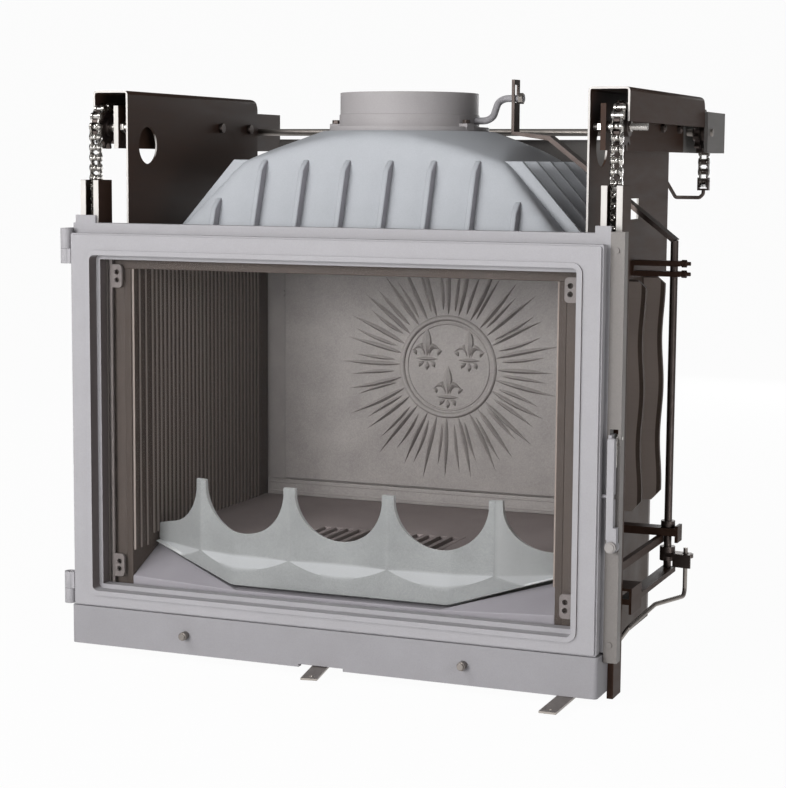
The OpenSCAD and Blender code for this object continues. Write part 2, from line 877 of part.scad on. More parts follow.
// Bolts that hold the yokes to the brackets, each with its spacer and nut
module yoke_bolts() {
    color(steel_bright) pair() for (y = yoke_bolt_y) {
        bar_x(bracket_x - sheet - 3, yoke_in + yoke_t + 8, y, axle_z + 4, 4);
        bar_x(bracket_x - sheet - 6, bracket_x - sheet, y, axle_z + 4, 8);
        bar_x(bracket_x, yoke_in, y, axle_z + 4, 8);
        hex_x(yoke_in + yoke_t, yoke_in + yoke_t + 6, y, axle_z + 4, 7);
    }
}

// Front axles, fixed in the yokes, with a nut inside and a collar outside
module front_axles() {
    ends = [36, 15];
    color(steel_bright) for (i = [0, 1]) mirror([i, 0, 0]) {
        bar_x(yoke_in - 13, lane_x + ends[i], axle_y, axle_z, axle_r);
        hex_x(yoke_in - 6, yoke_in, axle_y, axle_z, 9);
        bar_x(yoke_in + yoke_t, lane_x - hub_w / 2 - gap, axle_y, axle_z, 7.5);
        bar_x(lane_x + hub_w / 2 + gap, lane_x + hub_w / 2 + 3, axle_y, axle_z, 7.5);
    }
}

// Arms that carry the upright rod of the damper linkage: a forked clip above, a single arm below
module rod_guides() {
    fork = [guide_top_z - 8, guide_top_z + 8];
    color(sheet_dark) difference() {
        union() {
            for (z = fork) {
                block([bracket_x, -12, z], [rod_x + 12, 12, z + 8]);
                hex_x(rod_x + 12, rod_x + 20, 0, z + 4, 6);
                bar_x(rod_x + 20, rod_x + 26, 0, z + 4, 3);
            }
            block([bracket_x, -12, fork[0]], [bracket_x + 4, 12, fork[1] + 8]);
            block([wall_out, -14, guide_low_z], [rod_x + 14, 14, guide_low_z + 12]);
            block([rod_x + 14, -14, guide_low_z - 10], [rod_x + 19, 14, guide_low_z + 16]);
        }
        translate([rod_x, 0, guide_low_z - 1]) cylinder(h = 14, r = rod_r + run);
        for (z = fork) translate([rod_x, 0, z - 1]) cylinder(h = 10, r = rod_r + run);
    }
}

// Stays from the rod forward to the channel: one under the lower arm, and one that carries the rod's foot
module guide_stay() {
    box_y = channel_back + 56;
    color(sheet_dark) {
        block([lane_x + 5, channel_back, guide_low_z - 12], [lane_x + 13, 14, guide_low_z]);
        difference() {
            block([rod_x - 10, channel_back, foot_bar_z], [rod_x + 10, 14, foot_bar_z + 8]);
            translate([rod_x, 0, foot_bar_z - 1]) cylinder(h = 10, r = rod_r + run);
        }
        block([lane_x - 8, channel_back, foot_bar_z + 20], [rod_x + 10, box_y, foot_bar_z + 24]);
        block([rod_x + 6, channel_back, foot_bar_z - 14], [rod_x + 10, box_y, foot_bar_z + 20]);
    }
}

// Air control lever: strip, eye on its stud and round shutter over the inlet
module air_lever() {
    tip = lever_py - strip_tip_y - 14;
    color(steel_bright) translate([lever_px, lever_py, lever_z]) rotate(lever_rest) {
        linear_extrude(strip_t) difference() {
            union() {
                rect(-strip_w / 2, -tip, strip_w / 2, shutter_reach);
                circle(strip_w / 2 + 3);
                translate([0, shutter_reach]) circle(22);
            }
            circle(5 + run);
            translate([0, -tip + 12]) circle(4);
        }
    }
}

// Damper disc with the two saddles that clamp it to its spindle
module damper_disc() {
    r = collar_in - 3;
    color(cast_dark) difference() {
        union() {
            translate([0, 0, spindle_z + spindle_r]) cylinder(h = 3, r = r, $fn = 96);
            for (x = [-50, 50]) block([x - 10, -11, spindle_z - 9], [x + 10, 11, spindle_z + spindle_r]);
        }
        bar_x(-r, r, 0, spindle_z, spindle_r + snug);
    }
}

// Quarter bend of the crank rod, from along X to straight up
module quarter_bend(r) {
    rotate([90, 0, 0]) rotate_extrude(angle = 90, $fn = 48) {
        translate([r, 0]) circle(spindle_r, $fn = 24);
    }
}

// Damper spindle, bent into a crank at its right end
module damper_spindle() {
    bend = 15;
    x0 = collar_r + 14;
    color(cast_grey) translate([0, 0, spindle_z]) rotate([-45, 0, 0]) {
        bar_x(-collar_r - 6, x0, 0, 0, spindle_r);
        translate([x0, 0, bend]) rotate([0, 90, 0]) quarter_bend(bend);
        translate([x0 + bend, 0, bend]) cylinder(h = crank_r - 2 * bend, r = spindle_r);
        translate([x0 + 2 * bend, 0, crank_r - bend]) rotate([0, -90, 0]) quarter_bend(bend);
        bar_x(x0 + 2 * bend, x0 + 2 * bend + 26, 0, crank_r, spindle_r);
    }
}

// Nut that keeps the crank in the strap
module crank_nut() {
    x = collar_r + 14 + 30 + 18;
    color(steel_bright) translate([0, 0, spindle_z]) rotate([-45, 0, 0]) difference() {
        hex_x(x, x + 7, 0, crank_r, 9);
        bar_x(x - 1, x + 8, 0, crank_r, spindle_r + snug);
    }
}

// Damper strap: flat bar with a slotted head, cranked down to an upright rod with an arm at its foot
module damper_strap() {
    t = 5;
    w = 10;
    x0 = rod_x - strap_reach;
    foot = strap_foot;
    slot_low = spindle_z + crank_r * sin(45) - spindle_r - 1;
    slot_top = spindle_z + crank_r + spindle_r + 1;
    color(steel_dark) translate([rod_x, 0, 0]) rotate(-strap_turn) translate([-rod_x, 0, 0]) {
        difference() {
            slab_xz(-w, w) polygon([
                [x0, slot_top + 8], [x0, strap_knee], [strap_mid_x, strap_mid_z], [rod_x - 2, foot],
                [rod_x + 4, foot + 4], [strap_mid_x + 3, strap_mid_z + 7], [x0 + t, strap_knee + t],
                [x0 + t, slot_top + 8]
            ]);
            slab_yz(x0 - 1, x0 + t + 1) rect(-spindle_r - 2, slot_low, spindle_r + 2, slot_top);
        }
        translate([rod_x, 0, foot_bar_z - 4]) cylinder(h = foot - foot_bar_z + 6, r = rod_r);
        translate([rod_x, 0, guide_low_z + 12 + gap]) cylinder(h = 10, r = rod_r + 5);
        difference() {
            union() {
                block([rod_x, -12, rod_z0 + 7], [rod_x + pull_arm, 12, rod_z0 + 13]);
                block([rod_x + 13, -12, rod_z0 - 8], [rod_x + pull_arm + 12, -9, rod_z0 + 13]);
                translate([rod_x + pull_arm, 0, rod_z0 + 7]) cylinder(h = 6, r = 12);
                translate([rod_x, 0, rod_z0]) cylinder(h = 22, r = 12);
            }
            translate([rod_x + pull_arm, 0, rod_z0]) cylinder(h = 20, r = 5);
        }
    }
}

// Pull strip of the damper and the bent rod that joins it to the arm of the strap
module damper_pull() {
    x = strip_x - strip_w / 2;
    eye_x = rod_x + pull_arm * cos(strap_turn);
    eye_y = -pull_arm * sin(strap_turn);
    z = plinth_lift - strip_t - 0.3;
    r = 3.5;
    weld = 1;
    color(steel_bright) difference() {
        block([x, strip_tip_y, z], [x + strip_w, channel_back + 34, z + strip_t]);
        translate([strip_x, strip_tip_y + 12, z - 1]) cylinder(h = strip_t + 2, r = 4);
    }
    color(steel_dark) wire(eased([
        [strip_x + 5, channel_back + 14, z + strip_t + r - weld],
        [strip_x + 5, channel_back + 32, z + strip_t + r - weld],
        [lane_x + 10, channel_back + 59, 82], [lane_x + 22, -80, 96], [eye_x, eye_y - 7, 97],
        [eye_x, eye_y, 106], [eye_x, eye_y, rod_z0 + 22]
    ], 5), r, 12, [1, 0, 0]);
}

// Sprocket blank, centred on its axle: teeth cut by rollers, and a hub
module sprocket(bore) {
    tip = sprocket_r + 3.8;
    root = roller_r - 0.3;
    mouth = roller_r + 2.6;
    difference() {
        union() {
            slab_yz(-4, 4) difference() {
                circle(tip);
                for (i = [0 : teeth - 1]) rotate(i * 360 / teeth) {
                    translate([sprocket_r, 0]) circle(roller_r + 0.35, $fn = 24);
                    polygon([
                        [sprocket_r - 2, -root], [tip + 1, -mouth], [tip + 1, mouth], [sprocket_r - 2, root]
                    ]);
                }
            }
            slab_yz(-hub_w / 2, hub_w / 2) circle(14);
        }
        bar_x(-hub_w, hub_w, 0, 0, bore);
    }
}

module sprocket_front_left() {
    color(steel_dark) translate([-lane_x, axle_y, axle_z]) sprocket(axle_r + run);
}

module sprocket_front_right() {
    color(steel_dark) translate([lane_x, axle_y, axle_z]) sprocket(axle_r + run);
}

// Shaft that joins the two rear sprockets
module rear_shaft() {
    color(steel_bright) bar_x(-yoke_out - 4, yoke_out + 4, shaft_y, axle_z, shaft_r);
}

// Rear sprockets, fixed on the shaft
module rear_sprockets() {
    color(steel_dark) for (x = [-lane_x, lane_x]) translate([x, shaft_y, axle_z]) {
        sprocket(shaft_r + snug);
    }
}

// Pins of the chain in order: up the channel, over the front sprocket, back, over the rear one and down
function chain_pins() = concat(
    [for (i = [0 : links_front]) [run_y, anchor_z + i * pitch]],
    [for (i = [1 : arc_links]) [
        axle_y - sprocket_r * cos(i * 90 / arc_links), axle_z + sprocket_r * sin(i * 90 / arc_links)]],
    [for (i = [1 : links_top]) [axle_y + i * pitch, axle_z + sprocket_r]],
    [for (i = [1 : arc_links]) [
        shaft_y + sprocket_r * sin(i * 90 / arc_links), axle_z + sprocket_r * cos(i * 90 / arc_links)]],
    [for (i = [1 : links_rear]) [rear_y, axle_z - i * pitch]]
);

// Waisted plate of a link between two pins
module link_plate(a, b, r) {
    d = b - a;
    waist = 0.65 * r;
    translate(a) rotate(atan2(d[1], d[0])) {
        circle(r, $fn = 24);
        translate([pitch, 0]) circle(r, $fn = 24);
        translate([0, -waist]) square([pitch, 2 * waist]);
    }
}

// Run of roller chain from pin a to pin b: inner and outer plates by turns, with rollers and pins.
// It starts on a pin of what comes before it, and a loose end is left open for a clevis pin.
module chain_run(a, b, loose_a, loose_b) {
    pins = chain_pins();
    r = 2.5;
    first = loose_a ? a : a + 1;
    last = loose_b ? b - 1 : b;
    color(steel_bright) difference() {
        union() {
            for (s = [0, 1]) mirror([s, 0, 0]) {
                slab_yz(plate_in, plate_in + plate_t) {
                    for (i = [a : b - 1]) if (i % 2 == 0) link_plate(pins[i], pins[i + 1], inner_r);
                }
                slab_yz(plate_in + plate_t, plate_in + 2 * plate_t) {
                    for (i = [a : b - 1]) if (i % 2 == 1) link_plate(pins[i], pins[i + 1], outer_r);
                }
            }
            slab_yz(-plate_in, plate_in) for (i = [first : b]) translate(pins[i]) circle(roller_r, $fn = 24);
            slab_yz(-chain_half, chain_half) {
                for (i = [a + 1 : last]) translate(pins[i]) circle(r, $fn = 16);
            }
        }
        bar_x(-chain_half - 1, chain_half + 1, pins[a][0], pins[a][1], r + run);
        if (loose_b) bar_x(-chain_half - 1, chain_half + 1, pins[b][0], pins[b][1], r + run);
    }
}

// The two runs that hang in the channels
module chain_front_runs() {
    for (x = [-lane_x, lane_x]) translate([x, 0, 0]) chain_run(0, links_front, true, false);
}

// The two runs over the top, with the links that lie on the sprockets
module chain_top_runs() {
    for (x = [-lane_x, lane_x]) translate([x, 0, 0]) {
        chain_run(links_front, links_front + links_top + 2 * arc_links, false, false);
    }
}

// The two runs that hang at the back
module chain_rear_runs() {
    last = links_front + links_top + 2 * arc_links;
    for (x = [-lane_x, lane_x]) translate([x, 0, 0]) chain_run(last, last + links_rear, false, true);
}

// Counterweight bar behind the hood
module counterweight() {
    y = rear_y - weight_t / 2 + 4;
    z = rear_end_z - 12.6;
    color(sheet_dark) slab_yz(-weight_w / 2, weight_w / 2) round_rect(y, z, y + weight_t, z + weight_h, 4);
}

// Clevis on the end of a chain, centred on its own pin, with its web s below or above
module clevis() {
    c = plate_in + plate_t + 0.3;
    t = 2;
    for (e = [-1, 1]) translate([e * (c + t / 2), 0, 0]) block([-t / 2, -6.5, -12], [t / 2, 6.5, 6]);
    block([-c - t, -6.5, -15], [c + t, 6.5, -12]);
    bar_x(-c - t - 1, c + t + 1, 0, 0, 2.5);
}

// Hooks that hang the counterweight on the ends of the chains: a clevis and a bent rod
module counterweight_hooks() {
    z = rear_end_z - 15;
    r = 3;
    color(steel_dark) pair() {
        translate([lane_x, rear_y, rear_end_z]) clevis();
        wire(eased([
            [lane_x, rear_y, z + 1], [lane_x, rear_y, z - 6], [lane_x - 6, rear_y, z - 12],
            [weight_w / 2 + 22, rear_y, z - 12], [weight_w / 2 + 6, rear_y, z + 14],
            [weight_w / 2, rear_y, z + 14]
        ], 2.5), r, 12, [0, 1, 0]);
    }
}

// Carriage: front plate with a flange all round, and two tabs on top
module carriage_frame() {
    plate = 5;
    color(cast_grey) {
        slab_xz(carriage_y, carriage_y + plate) {
            difference() {
                rect(carriage_left, carriage_z0, carriage_right, carriage_z1);
                round_rect(-carriage_in, rim_z0 - 2.5, carriage_in, rim_z1 + 2.5, 5);
            }
            rect(carriage_left + 4, carriage_z1, carriage_left + 39, carriage_z1 + 12);
            rect(carriage_right - 23, carriage_z1, carriage_right, carriage_z1 + 10);
        }
        slab_xz(carriage_y + plate, carriage_back) difference() {
            rect(carriage_left, carriage_z0, carriage_right, carriage_z1);
            rect(carriage_left + 4, carriage_z0 + 4, carriage_right - 4, carriage_z1 - 4);
        }
    }
}

// Latch post: upright bar at the right edge of the door, with a pocket for the latch
module latch_post() {
    color(cast_grey) difference() {
        slab_xz(carriage_y, carriage_y + 18) difference() {
            rect(post_x, carriage_z0 - 14, post_x + post_w, carriage_z1 + 2);
            rect(latch_x - 1, latch_z - pocket_h / 2, latch_x + 11, latch_z + pocket_h / 2);
        }
        bar_x(post_x - 1, post_x + post_w + 1, latch_y, latch_z, 2.5 + snug);
    }
}

// Screw heads on the latch post
module post_screws() {
    color(steel_bright) for (z = [carriage_z0 + 12, carriage_z1 - 24]) {
        bar_y(post_x + post_w / 2 - 1, z, carriage_y - 2, carriage_y, 4);
    }
}

// Hinge lugs on the left of the carriage, outside the knuckles of the door
module hinge_lugs() {
    spans = [[door_z0 + 1, door_z0 + 25 - gap], [door_z1 - 24 + gap, door_z1 + 7]];
    color(cast_grey) for (s = spans) difference() {
        union() {
            translate([hinge_x, hinge_y, s[0]]) cylinder(h = s[1] - s[0], r = knuckle_r);
            block([hinge_x - knuckle_r, hinge_y, s[0]], [carriage_left, carriage_back, s[1]]);
        }
        translate([hinge_x, hinge_y, s[0] - 1]) cylinder(h = s[1] - s[0] + 2, r = hinge_pin_r + snug);
    }
}

// Hinge pins, fixed in the lugs and running in the knuckles
module hinge_pins() {
    color(steel_bright) for (s = [[door_z0 + 1, door_z0 + 50], [door_z1 - 47, door_z1 + 7]]) {
        translate([hinge_x, hinge_y, s[0]]) cylinder(h = s[1] - s[0], r = hinge_pin_r);
    }
}

// Guide shoes in the channels, each on a neck through the slot
module guide_shoes() {
    w = channel_w / 2 - channel_t - 0.5;
    y0 = channel_y + channel_t + 0.5;
    y1 = channel_back - channel_t - 0.5;
    n = channel_slot / 2 - 2.5;
    color("#B5A26A") for (s = [-1, 1], z = [carriage_z0 + 4, anchor_z - 45]) translate([s * lane_x, 0, 0]) {
        block([-w, y0, z], [w, y1, z + 30]);
        block([-n, carriage_y + 5, z], [n, y0, z + 30]);
    }
}

// Clevises on the upper shoes that hold the ends of the chains
module chain_anchors() {
    color(steel_dark) for (x = [-lane_x, lane_x]) translate([x, run_y, anchor_z]) clevis();
}

// Door frame: stepped face, bead round the glass, rim behind it and two hinge knuckles
module door_frame() {
    half = door_w / 2;
    spans = [[door_z0 + 25, door_z0 + 51], [door_z1 - 47, door_z1 - 24]];
    color(cast_grey) difference() {
        union() {
            slab_xz(door_y, door_y + 4) difference() {
                round_rect(-half + 2.5, door_z0 + 2.5, half - 2.5, door_z1 - 2.5, 3);
                round_rect(-open_half, open_z0, open_half, open_z1, 8);
            }
            slab_xz(door_y + 4, door_y + door_t) difference() {
                round_rect(-half, door_z0, half, door_z1, 3);
                round_rect(-open_half, open_z0, open_half, open_z1, 8);
            }
            slab_xz(door_y - bead_h, door_y) {
                ring(open_half + bead_w, open_z0 - bead_w, open_z1 + bead_w, bead_w, 8 + bead_w);
            }
            slab_xz(door_y + door_t, rim_back) ring(rim_half, rim_z0, rim_z1, rim_half - rim_in, 6);
            for (s = spans) {
                translate([hinge_x, hinge_y, s[0]]) cylinder(h = s[1] - s[0], r = knuckle_r);
                block([hinge_x, door_y + 1, s[0]], [-half + 1, door_y + 15, s[1]]);
            }
            bar_x(half - 1, latch_x + 8, keeper_y, keeper_z, keeper_r);
        }
        for (s = spans) {
            translate([hinge_x, hinge_y, s[0] - 1]) cylinder(h = s[1] - s[0] + 2, r = hinge_pin_r + run);
        }
    }
}

// Ceramic glass
module door_glass() {
    color("#AEB4B6", 0.3) slab_xz(glass_y, glass_y + glass_t) {
        rect(-glass_half, open_z0 - 0.5, glass_half, open_z1 + 0.5);
    }
}

// Flat gasket between the rim and the glass
module glass_gasket() {
    color("#6E6A66") slab_xz(rim_back, glass_y) ring(glass_half, open_z0 - 0.5, open_z1 + 0.5, 6, 3);
}

// Rope seal between door and carriage
module door_seal() {
    color("#6E6A66") slab_xz(door_y + door_t, carriage_y - gap) {
        ring(carriage_in + 13, rim_z0 - 12, rim_z1 + 12, 8, 10);
    }
}

// Retaining strips behind the glass, with an ear at each end
module glass_clips() {
    out = rim_half;
    inner = open_half - 14;
    ear = 17;
    color(cast_dark) pair() slab_xz(clip_y, clip_y + 4) difference() {
        union() {
            rect(inner, rim_z0 + 4, out, rim_z1 - 4);
            for (z = [rim_z0 + 40, rim_z1 - 40]) round_rect(inner - ear, z - 18, inner + 10, z + 18, 6);
        }
        for (z = [rim_z0 + 40, rim_z1 - 40]) {
            translate([inner - ear / 2, z + 6]) circle(4);
            translate([inner - ear / 2, z - 6]) circle(4);
        }
        for (z = [rim_z0 + 60, rim_z1 - 60]) translate([out - 5, z]) circle(2.5 + snug);
    }
}

// Screws through the retaining strips into the rim
module clip_screws() {
    color(steel_bright) pair() for (z = [rim_z0 + 60, rim_z1 - 60]) {
        bar_y(rim_half - 5, z, rim_back, clip_y + 4, 2.5);
        bar_y(rim_half - 5, z, clip_y + 4, clip_y + 6, 4.5);
    }
}

// Latch lever: eye on its pin in the post, bar down the front and boss for the knob
module latch_lever() {
    y0 = carriage_y - 16;
    y1 = carriage_y - 4;
    low = latch_z - latch_drop;
    color(cast_grey) difference() {
        union() {
            slab_yz(latch_x, latch_x + 5) {
                translate([latch_y, latch_z]) circle(6);
                rect(y0 + 4, latch_z - 6, latch_y, latch_z + 6);
            }
            slab_yz(latch_x, latch_x + 10) {
                rect(y0, low + 10, y1, latch_z - 2);
                translate([y0 + 4, latch_z - 2]) circle(4);
            }
            block([latch_x + 1, y0, low + 6], [latch_x + 15, y1, low + 27]);
            bar_y(latch_x + 8, low, y0, y1, 9);
        }
        bar_x(latch_x - 1, latch_x + 11, latch_y, latch_z, 2.5 + run);
        block([latch_x - 1, keeper_y - keeper_r - gap, keeper_z - keeper_r - gap],
            [latch_x + 11, y1 + 1, keeper_z + keeper_r + gap]);
    }
}

// Round knob of the latch
module latch_knob() {
    y0 = carriage_y - 16;
    low = latch_z - latch_drop;
    color(steel_bright) {
        bar_y(latch_x + 8, low, y0 - 6, y0, 8);
        bar_y(latch_x + 8, low, y0 - 8, y0 - 6, 6);
    }
}

// Spring of the latch: a coil round the pin, with a leg down the face of the post
module latch_spring() {
    r = 0.7;
    coil = 4.4;
    turns = 2.25;
    steps = 12;
    x0 = latch_x + 6.2;
    rise = 1.6;
    n = turns * steps;
    end_x = x0 + rise * turns;
    color(steel_bright) wire(concat(
        [for (i = [0 : n]) [
            x0 + rise * i / steps, latch_y + coil * cos(180 - 360 * i / steps),
            latch_z + coil * sin(180 - 360 * i / steps)
        ]],
        [[end_x, carriage_y + 2, latch_z + coil], [end_x, carriage_y - 1, latch_z + coil - 1],
            [end_x, carriage_y - 1.8, latch_z + coil - 4], [end_x, carriage_y - 1.8, latch_z - 40]]
    ), r, 6, [1, 0, 0]);
}

// Pin of the latch, fixed across the pocket of the post
module latch_pin() {
    color(steel_bright) bar_x(post_x, post_x + post_w, latch_y, latch_z, 2.5);
}

base_pan();
plinth();
plinth_studs();
front_sill();
hearth_floor();
grate();
ash_pan();
log_guard();
front_frame();
side_wall_left();
side_wall_right();
back_wall();
fireback();
fireback_bolts();
hood();
hood_bolts();
flue_collar();
collar_bolts();
channel_left();
channel_right();
bracket_left();
bracket_right();
yoke_left();
yoke_right();
yoke_bolts();
front_axles();
rod_guides();
guide_stay();
air_lever();
damper_disc();
damper_spindle();
crank_nut();
damper_strap();
damper_pull();
sprocket_front_left();
sprocket_front_right();
rear_shaft();
rear_sprockets();
chain_front_runs();
chain_top_runs();
chain_rear_runs();
counterweight();
counterweight_hooks();
carriage_frame();
latch_post();
post_screws();
hinge_lugs();
hinge_pins();
guide_shoes();
chain_anchors();
door_frame();
door_glass();
glass_gasket();
door_seal();
glass_clips();
clip_screws();
latch_lever();
latch_knob();
latch_pin();
latch_spring();
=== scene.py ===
# Fireplace insert with a glazed door that lifts on chains: its looks, in metres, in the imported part's frame.
import math

import bpy
from mathutils import Matrix, Vector


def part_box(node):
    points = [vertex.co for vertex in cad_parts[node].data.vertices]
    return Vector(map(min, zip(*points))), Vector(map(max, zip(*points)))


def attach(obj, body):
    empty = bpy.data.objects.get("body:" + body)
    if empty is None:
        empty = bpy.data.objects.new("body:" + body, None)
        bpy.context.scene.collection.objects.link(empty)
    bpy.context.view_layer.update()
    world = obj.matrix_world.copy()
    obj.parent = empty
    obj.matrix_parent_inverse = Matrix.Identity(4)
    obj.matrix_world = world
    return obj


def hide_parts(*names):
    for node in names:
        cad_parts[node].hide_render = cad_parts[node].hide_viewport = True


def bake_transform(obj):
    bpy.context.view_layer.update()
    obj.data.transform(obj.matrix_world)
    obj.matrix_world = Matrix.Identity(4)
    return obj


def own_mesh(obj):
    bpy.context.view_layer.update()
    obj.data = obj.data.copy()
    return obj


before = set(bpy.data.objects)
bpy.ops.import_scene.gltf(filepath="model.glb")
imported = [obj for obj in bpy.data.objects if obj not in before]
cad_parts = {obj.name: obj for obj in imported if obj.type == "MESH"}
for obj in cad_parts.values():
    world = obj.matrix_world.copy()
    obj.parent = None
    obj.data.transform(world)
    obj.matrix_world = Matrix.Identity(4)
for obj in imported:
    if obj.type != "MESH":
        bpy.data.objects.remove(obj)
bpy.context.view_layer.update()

# Base pan, plinth and ash pan: the pan is folded sheet on three runners, the plinth an iron casting in
# silver-grey stove paint with two round steel studs, and the ash pan a pressed tray in black paint.


def linear(hex_colour):
    """An sRGB hex value as linear red, green, blue and alpha."""
    parts = [int(hex_colour[i:i + 2], 16) / 255 for i in (1, 3, 5)]
    return [p / 12.92 if p <= 0.04045 else ((p + 0.055) / 1.055) ** 2.4 for p in parts] + [1.0]


def joined(tree, kind, sockets=(), **settings):
    """Adds one node with its settings, its socket values and its links."""
    node = tree.nodes.new(kind)
    for key, value in settings.items():
        setattr(node, key, value)
    for key, value in dict(sockets).items():
        if isinstance(value, bpy.types.NodeSocket):
            tree.links.new(value, node.inputs[key])
        else:
            node.inputs[key].default_value = value
    return node


def blank(name):
    """A new material with only its output, and its object coordinates."""
    material = bpy.data.materials.new(name)
    material.use_nodes = True
    tree = material.node_tree
    tree.nodes.clear()
    output = tree.nodes.new("ShaderNodeOutputMaterial")
    place = tree.nodes.new("ShaderNodeTexCoord").outputs["Object"]
    return material, tree, output, place


def sand_casting(name, dark, light, rough=0.6, grain=0.0016, tints=()):
    """Sand casting, painted or bare: orange-peel from the sand, slow clouds in the colour, hardly a shine.
    Moulding sand has grains of 0.2 to 0.5 mm, too fine to show, so the grain is drawn coarser than that.
    Each tint colours the faces that look one way: the back wall's heat colour, and painted light and shade on
    the other parts."""
    cloud, relief = 0.05, 0.00022
    speck_share, cloud_share = 0.55, 0.45
    material, tree, output, place = blank(name)
    clouds = joined(tree, "ShaderNodeTexNoise",
                    {"Vector": place, "Scale": 1 / cloud, "Detail": 4.0, "Roughness": 0.55})
    specks = joined(tree, "ShaderNodeTexNoise",
                    {"Vector": place, "Scale": 1 / grain, "Detail": 3.0, "Roughness": 0.6})
    slow = joined(tree, "ShaderNodeMath", {0: clouds.outputs["Fac"], 1: cloud_share}, operation="MULTIPLY")
    shade = joined(tree, "ShaderNodeMath", {0: specks.outputs["Fac"], 1: speck_share, 2: slow.outputs[0]},
                   operation="MULTIPLY_ADD")
    ramp = joined(tree, "ShaderNodeMapRange",
                  {"Value": shade.outputs[0], "From Min": 0.32, "From Max": 0.68})
    colour = joined(tree, "ShaderNodeMix",
                    {"Factor": ramp.outputs[0], 6: linear(dark), 7: linear(light)}, data_type="RGBA")
    facing = tree.nodes.new("ShaderNodeTexCoord").outputs["Normal"]
    across = joined(tree, "ShaderNodeSeparateXYZ", {0: place})
    aside = joined(tree, "ShaderNodeMath", {0: across.outputs["X"]}, operation="ABSOLUTE")
    # Tints on faces that look one way: the back wall's heat colour, and painted light and shade elsewhere.
    for way, tint, start, full, most, half in tints:
        turned = joined(tree, "ShaderNodeVectorMath", {0: facing, 1: way}, operation="DOT_PRODUCT")
        reach = joined(tree, "ShaderNodeMapRange",
                       {"Value": aside.outputs[0], "From Min": half, "From Max": half + 0.001,
                        "To Min": most, "To Max": 0.0})
        amount = joined(tree, "ShaderNodeMapRange",
                        {"Value": turned.outputs["Value"], "From Min": start, "From Max": full,
                         "To Max": reach.outputs[0]})
        colour = joined(tree, "ShaderNodeMix",
                        {"Factor": amount.outputs[0], 6: colour.outputs[2], 7: linear(tint)},
                        data_type="RGBA")
    worn = joined(tree, "ShaderNodeMapRange",
                  {"Value": clouds.outputs["Fac"], "From Min": 0.3, "From Max": 0.7,
                   "To Min": rough - 0.06, "To Max": rough + 0.08})
    bump = joined(tree, "ShaderNodeBump",
                  {"Height": specks.outputs["Fac"], "Strength": 0.55, "Distance": relief})
    body = joined(tree, "ShaderNodeBsdfPrincipled",
                  {"Base Color": colour.outputs[2], "Roughness": worn.outputs[0], "IOR": 1.45,
                   "Normal": bump.outputs["Normal"]})
    tree.links.new(body.outputs[0], output.inputs[0])
    return material


def finish(material, *nodes):
    """Gives CAD nodes their finish."""
    for name in nodes:
        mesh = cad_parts[name].data
        mesh.materials.clear()
        mesh.materials.append(material)


def soften(width, *nodes):
    """Rounds the edges of CAD nodes, as a mould or a tumbling drum leaves them."""
    for name in nodes:
        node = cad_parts[name]
        weld = node.modifiers.new("weld", "WELD")
        weld.merge_threshold = 0.00002
        flat = node.modifiers.new("flat", "DECIMATE")
        flat.decimate_type = "DISSOLVE"
        flat.angle_limit = math.radians(0.5)
        edge = node.modifiers.new("edge", "BEVEL")
        edge.width = width
        edge.segments = 2
        edge.limit_method = "ANGLE"
        edge.angle_limit = math.radians(35)


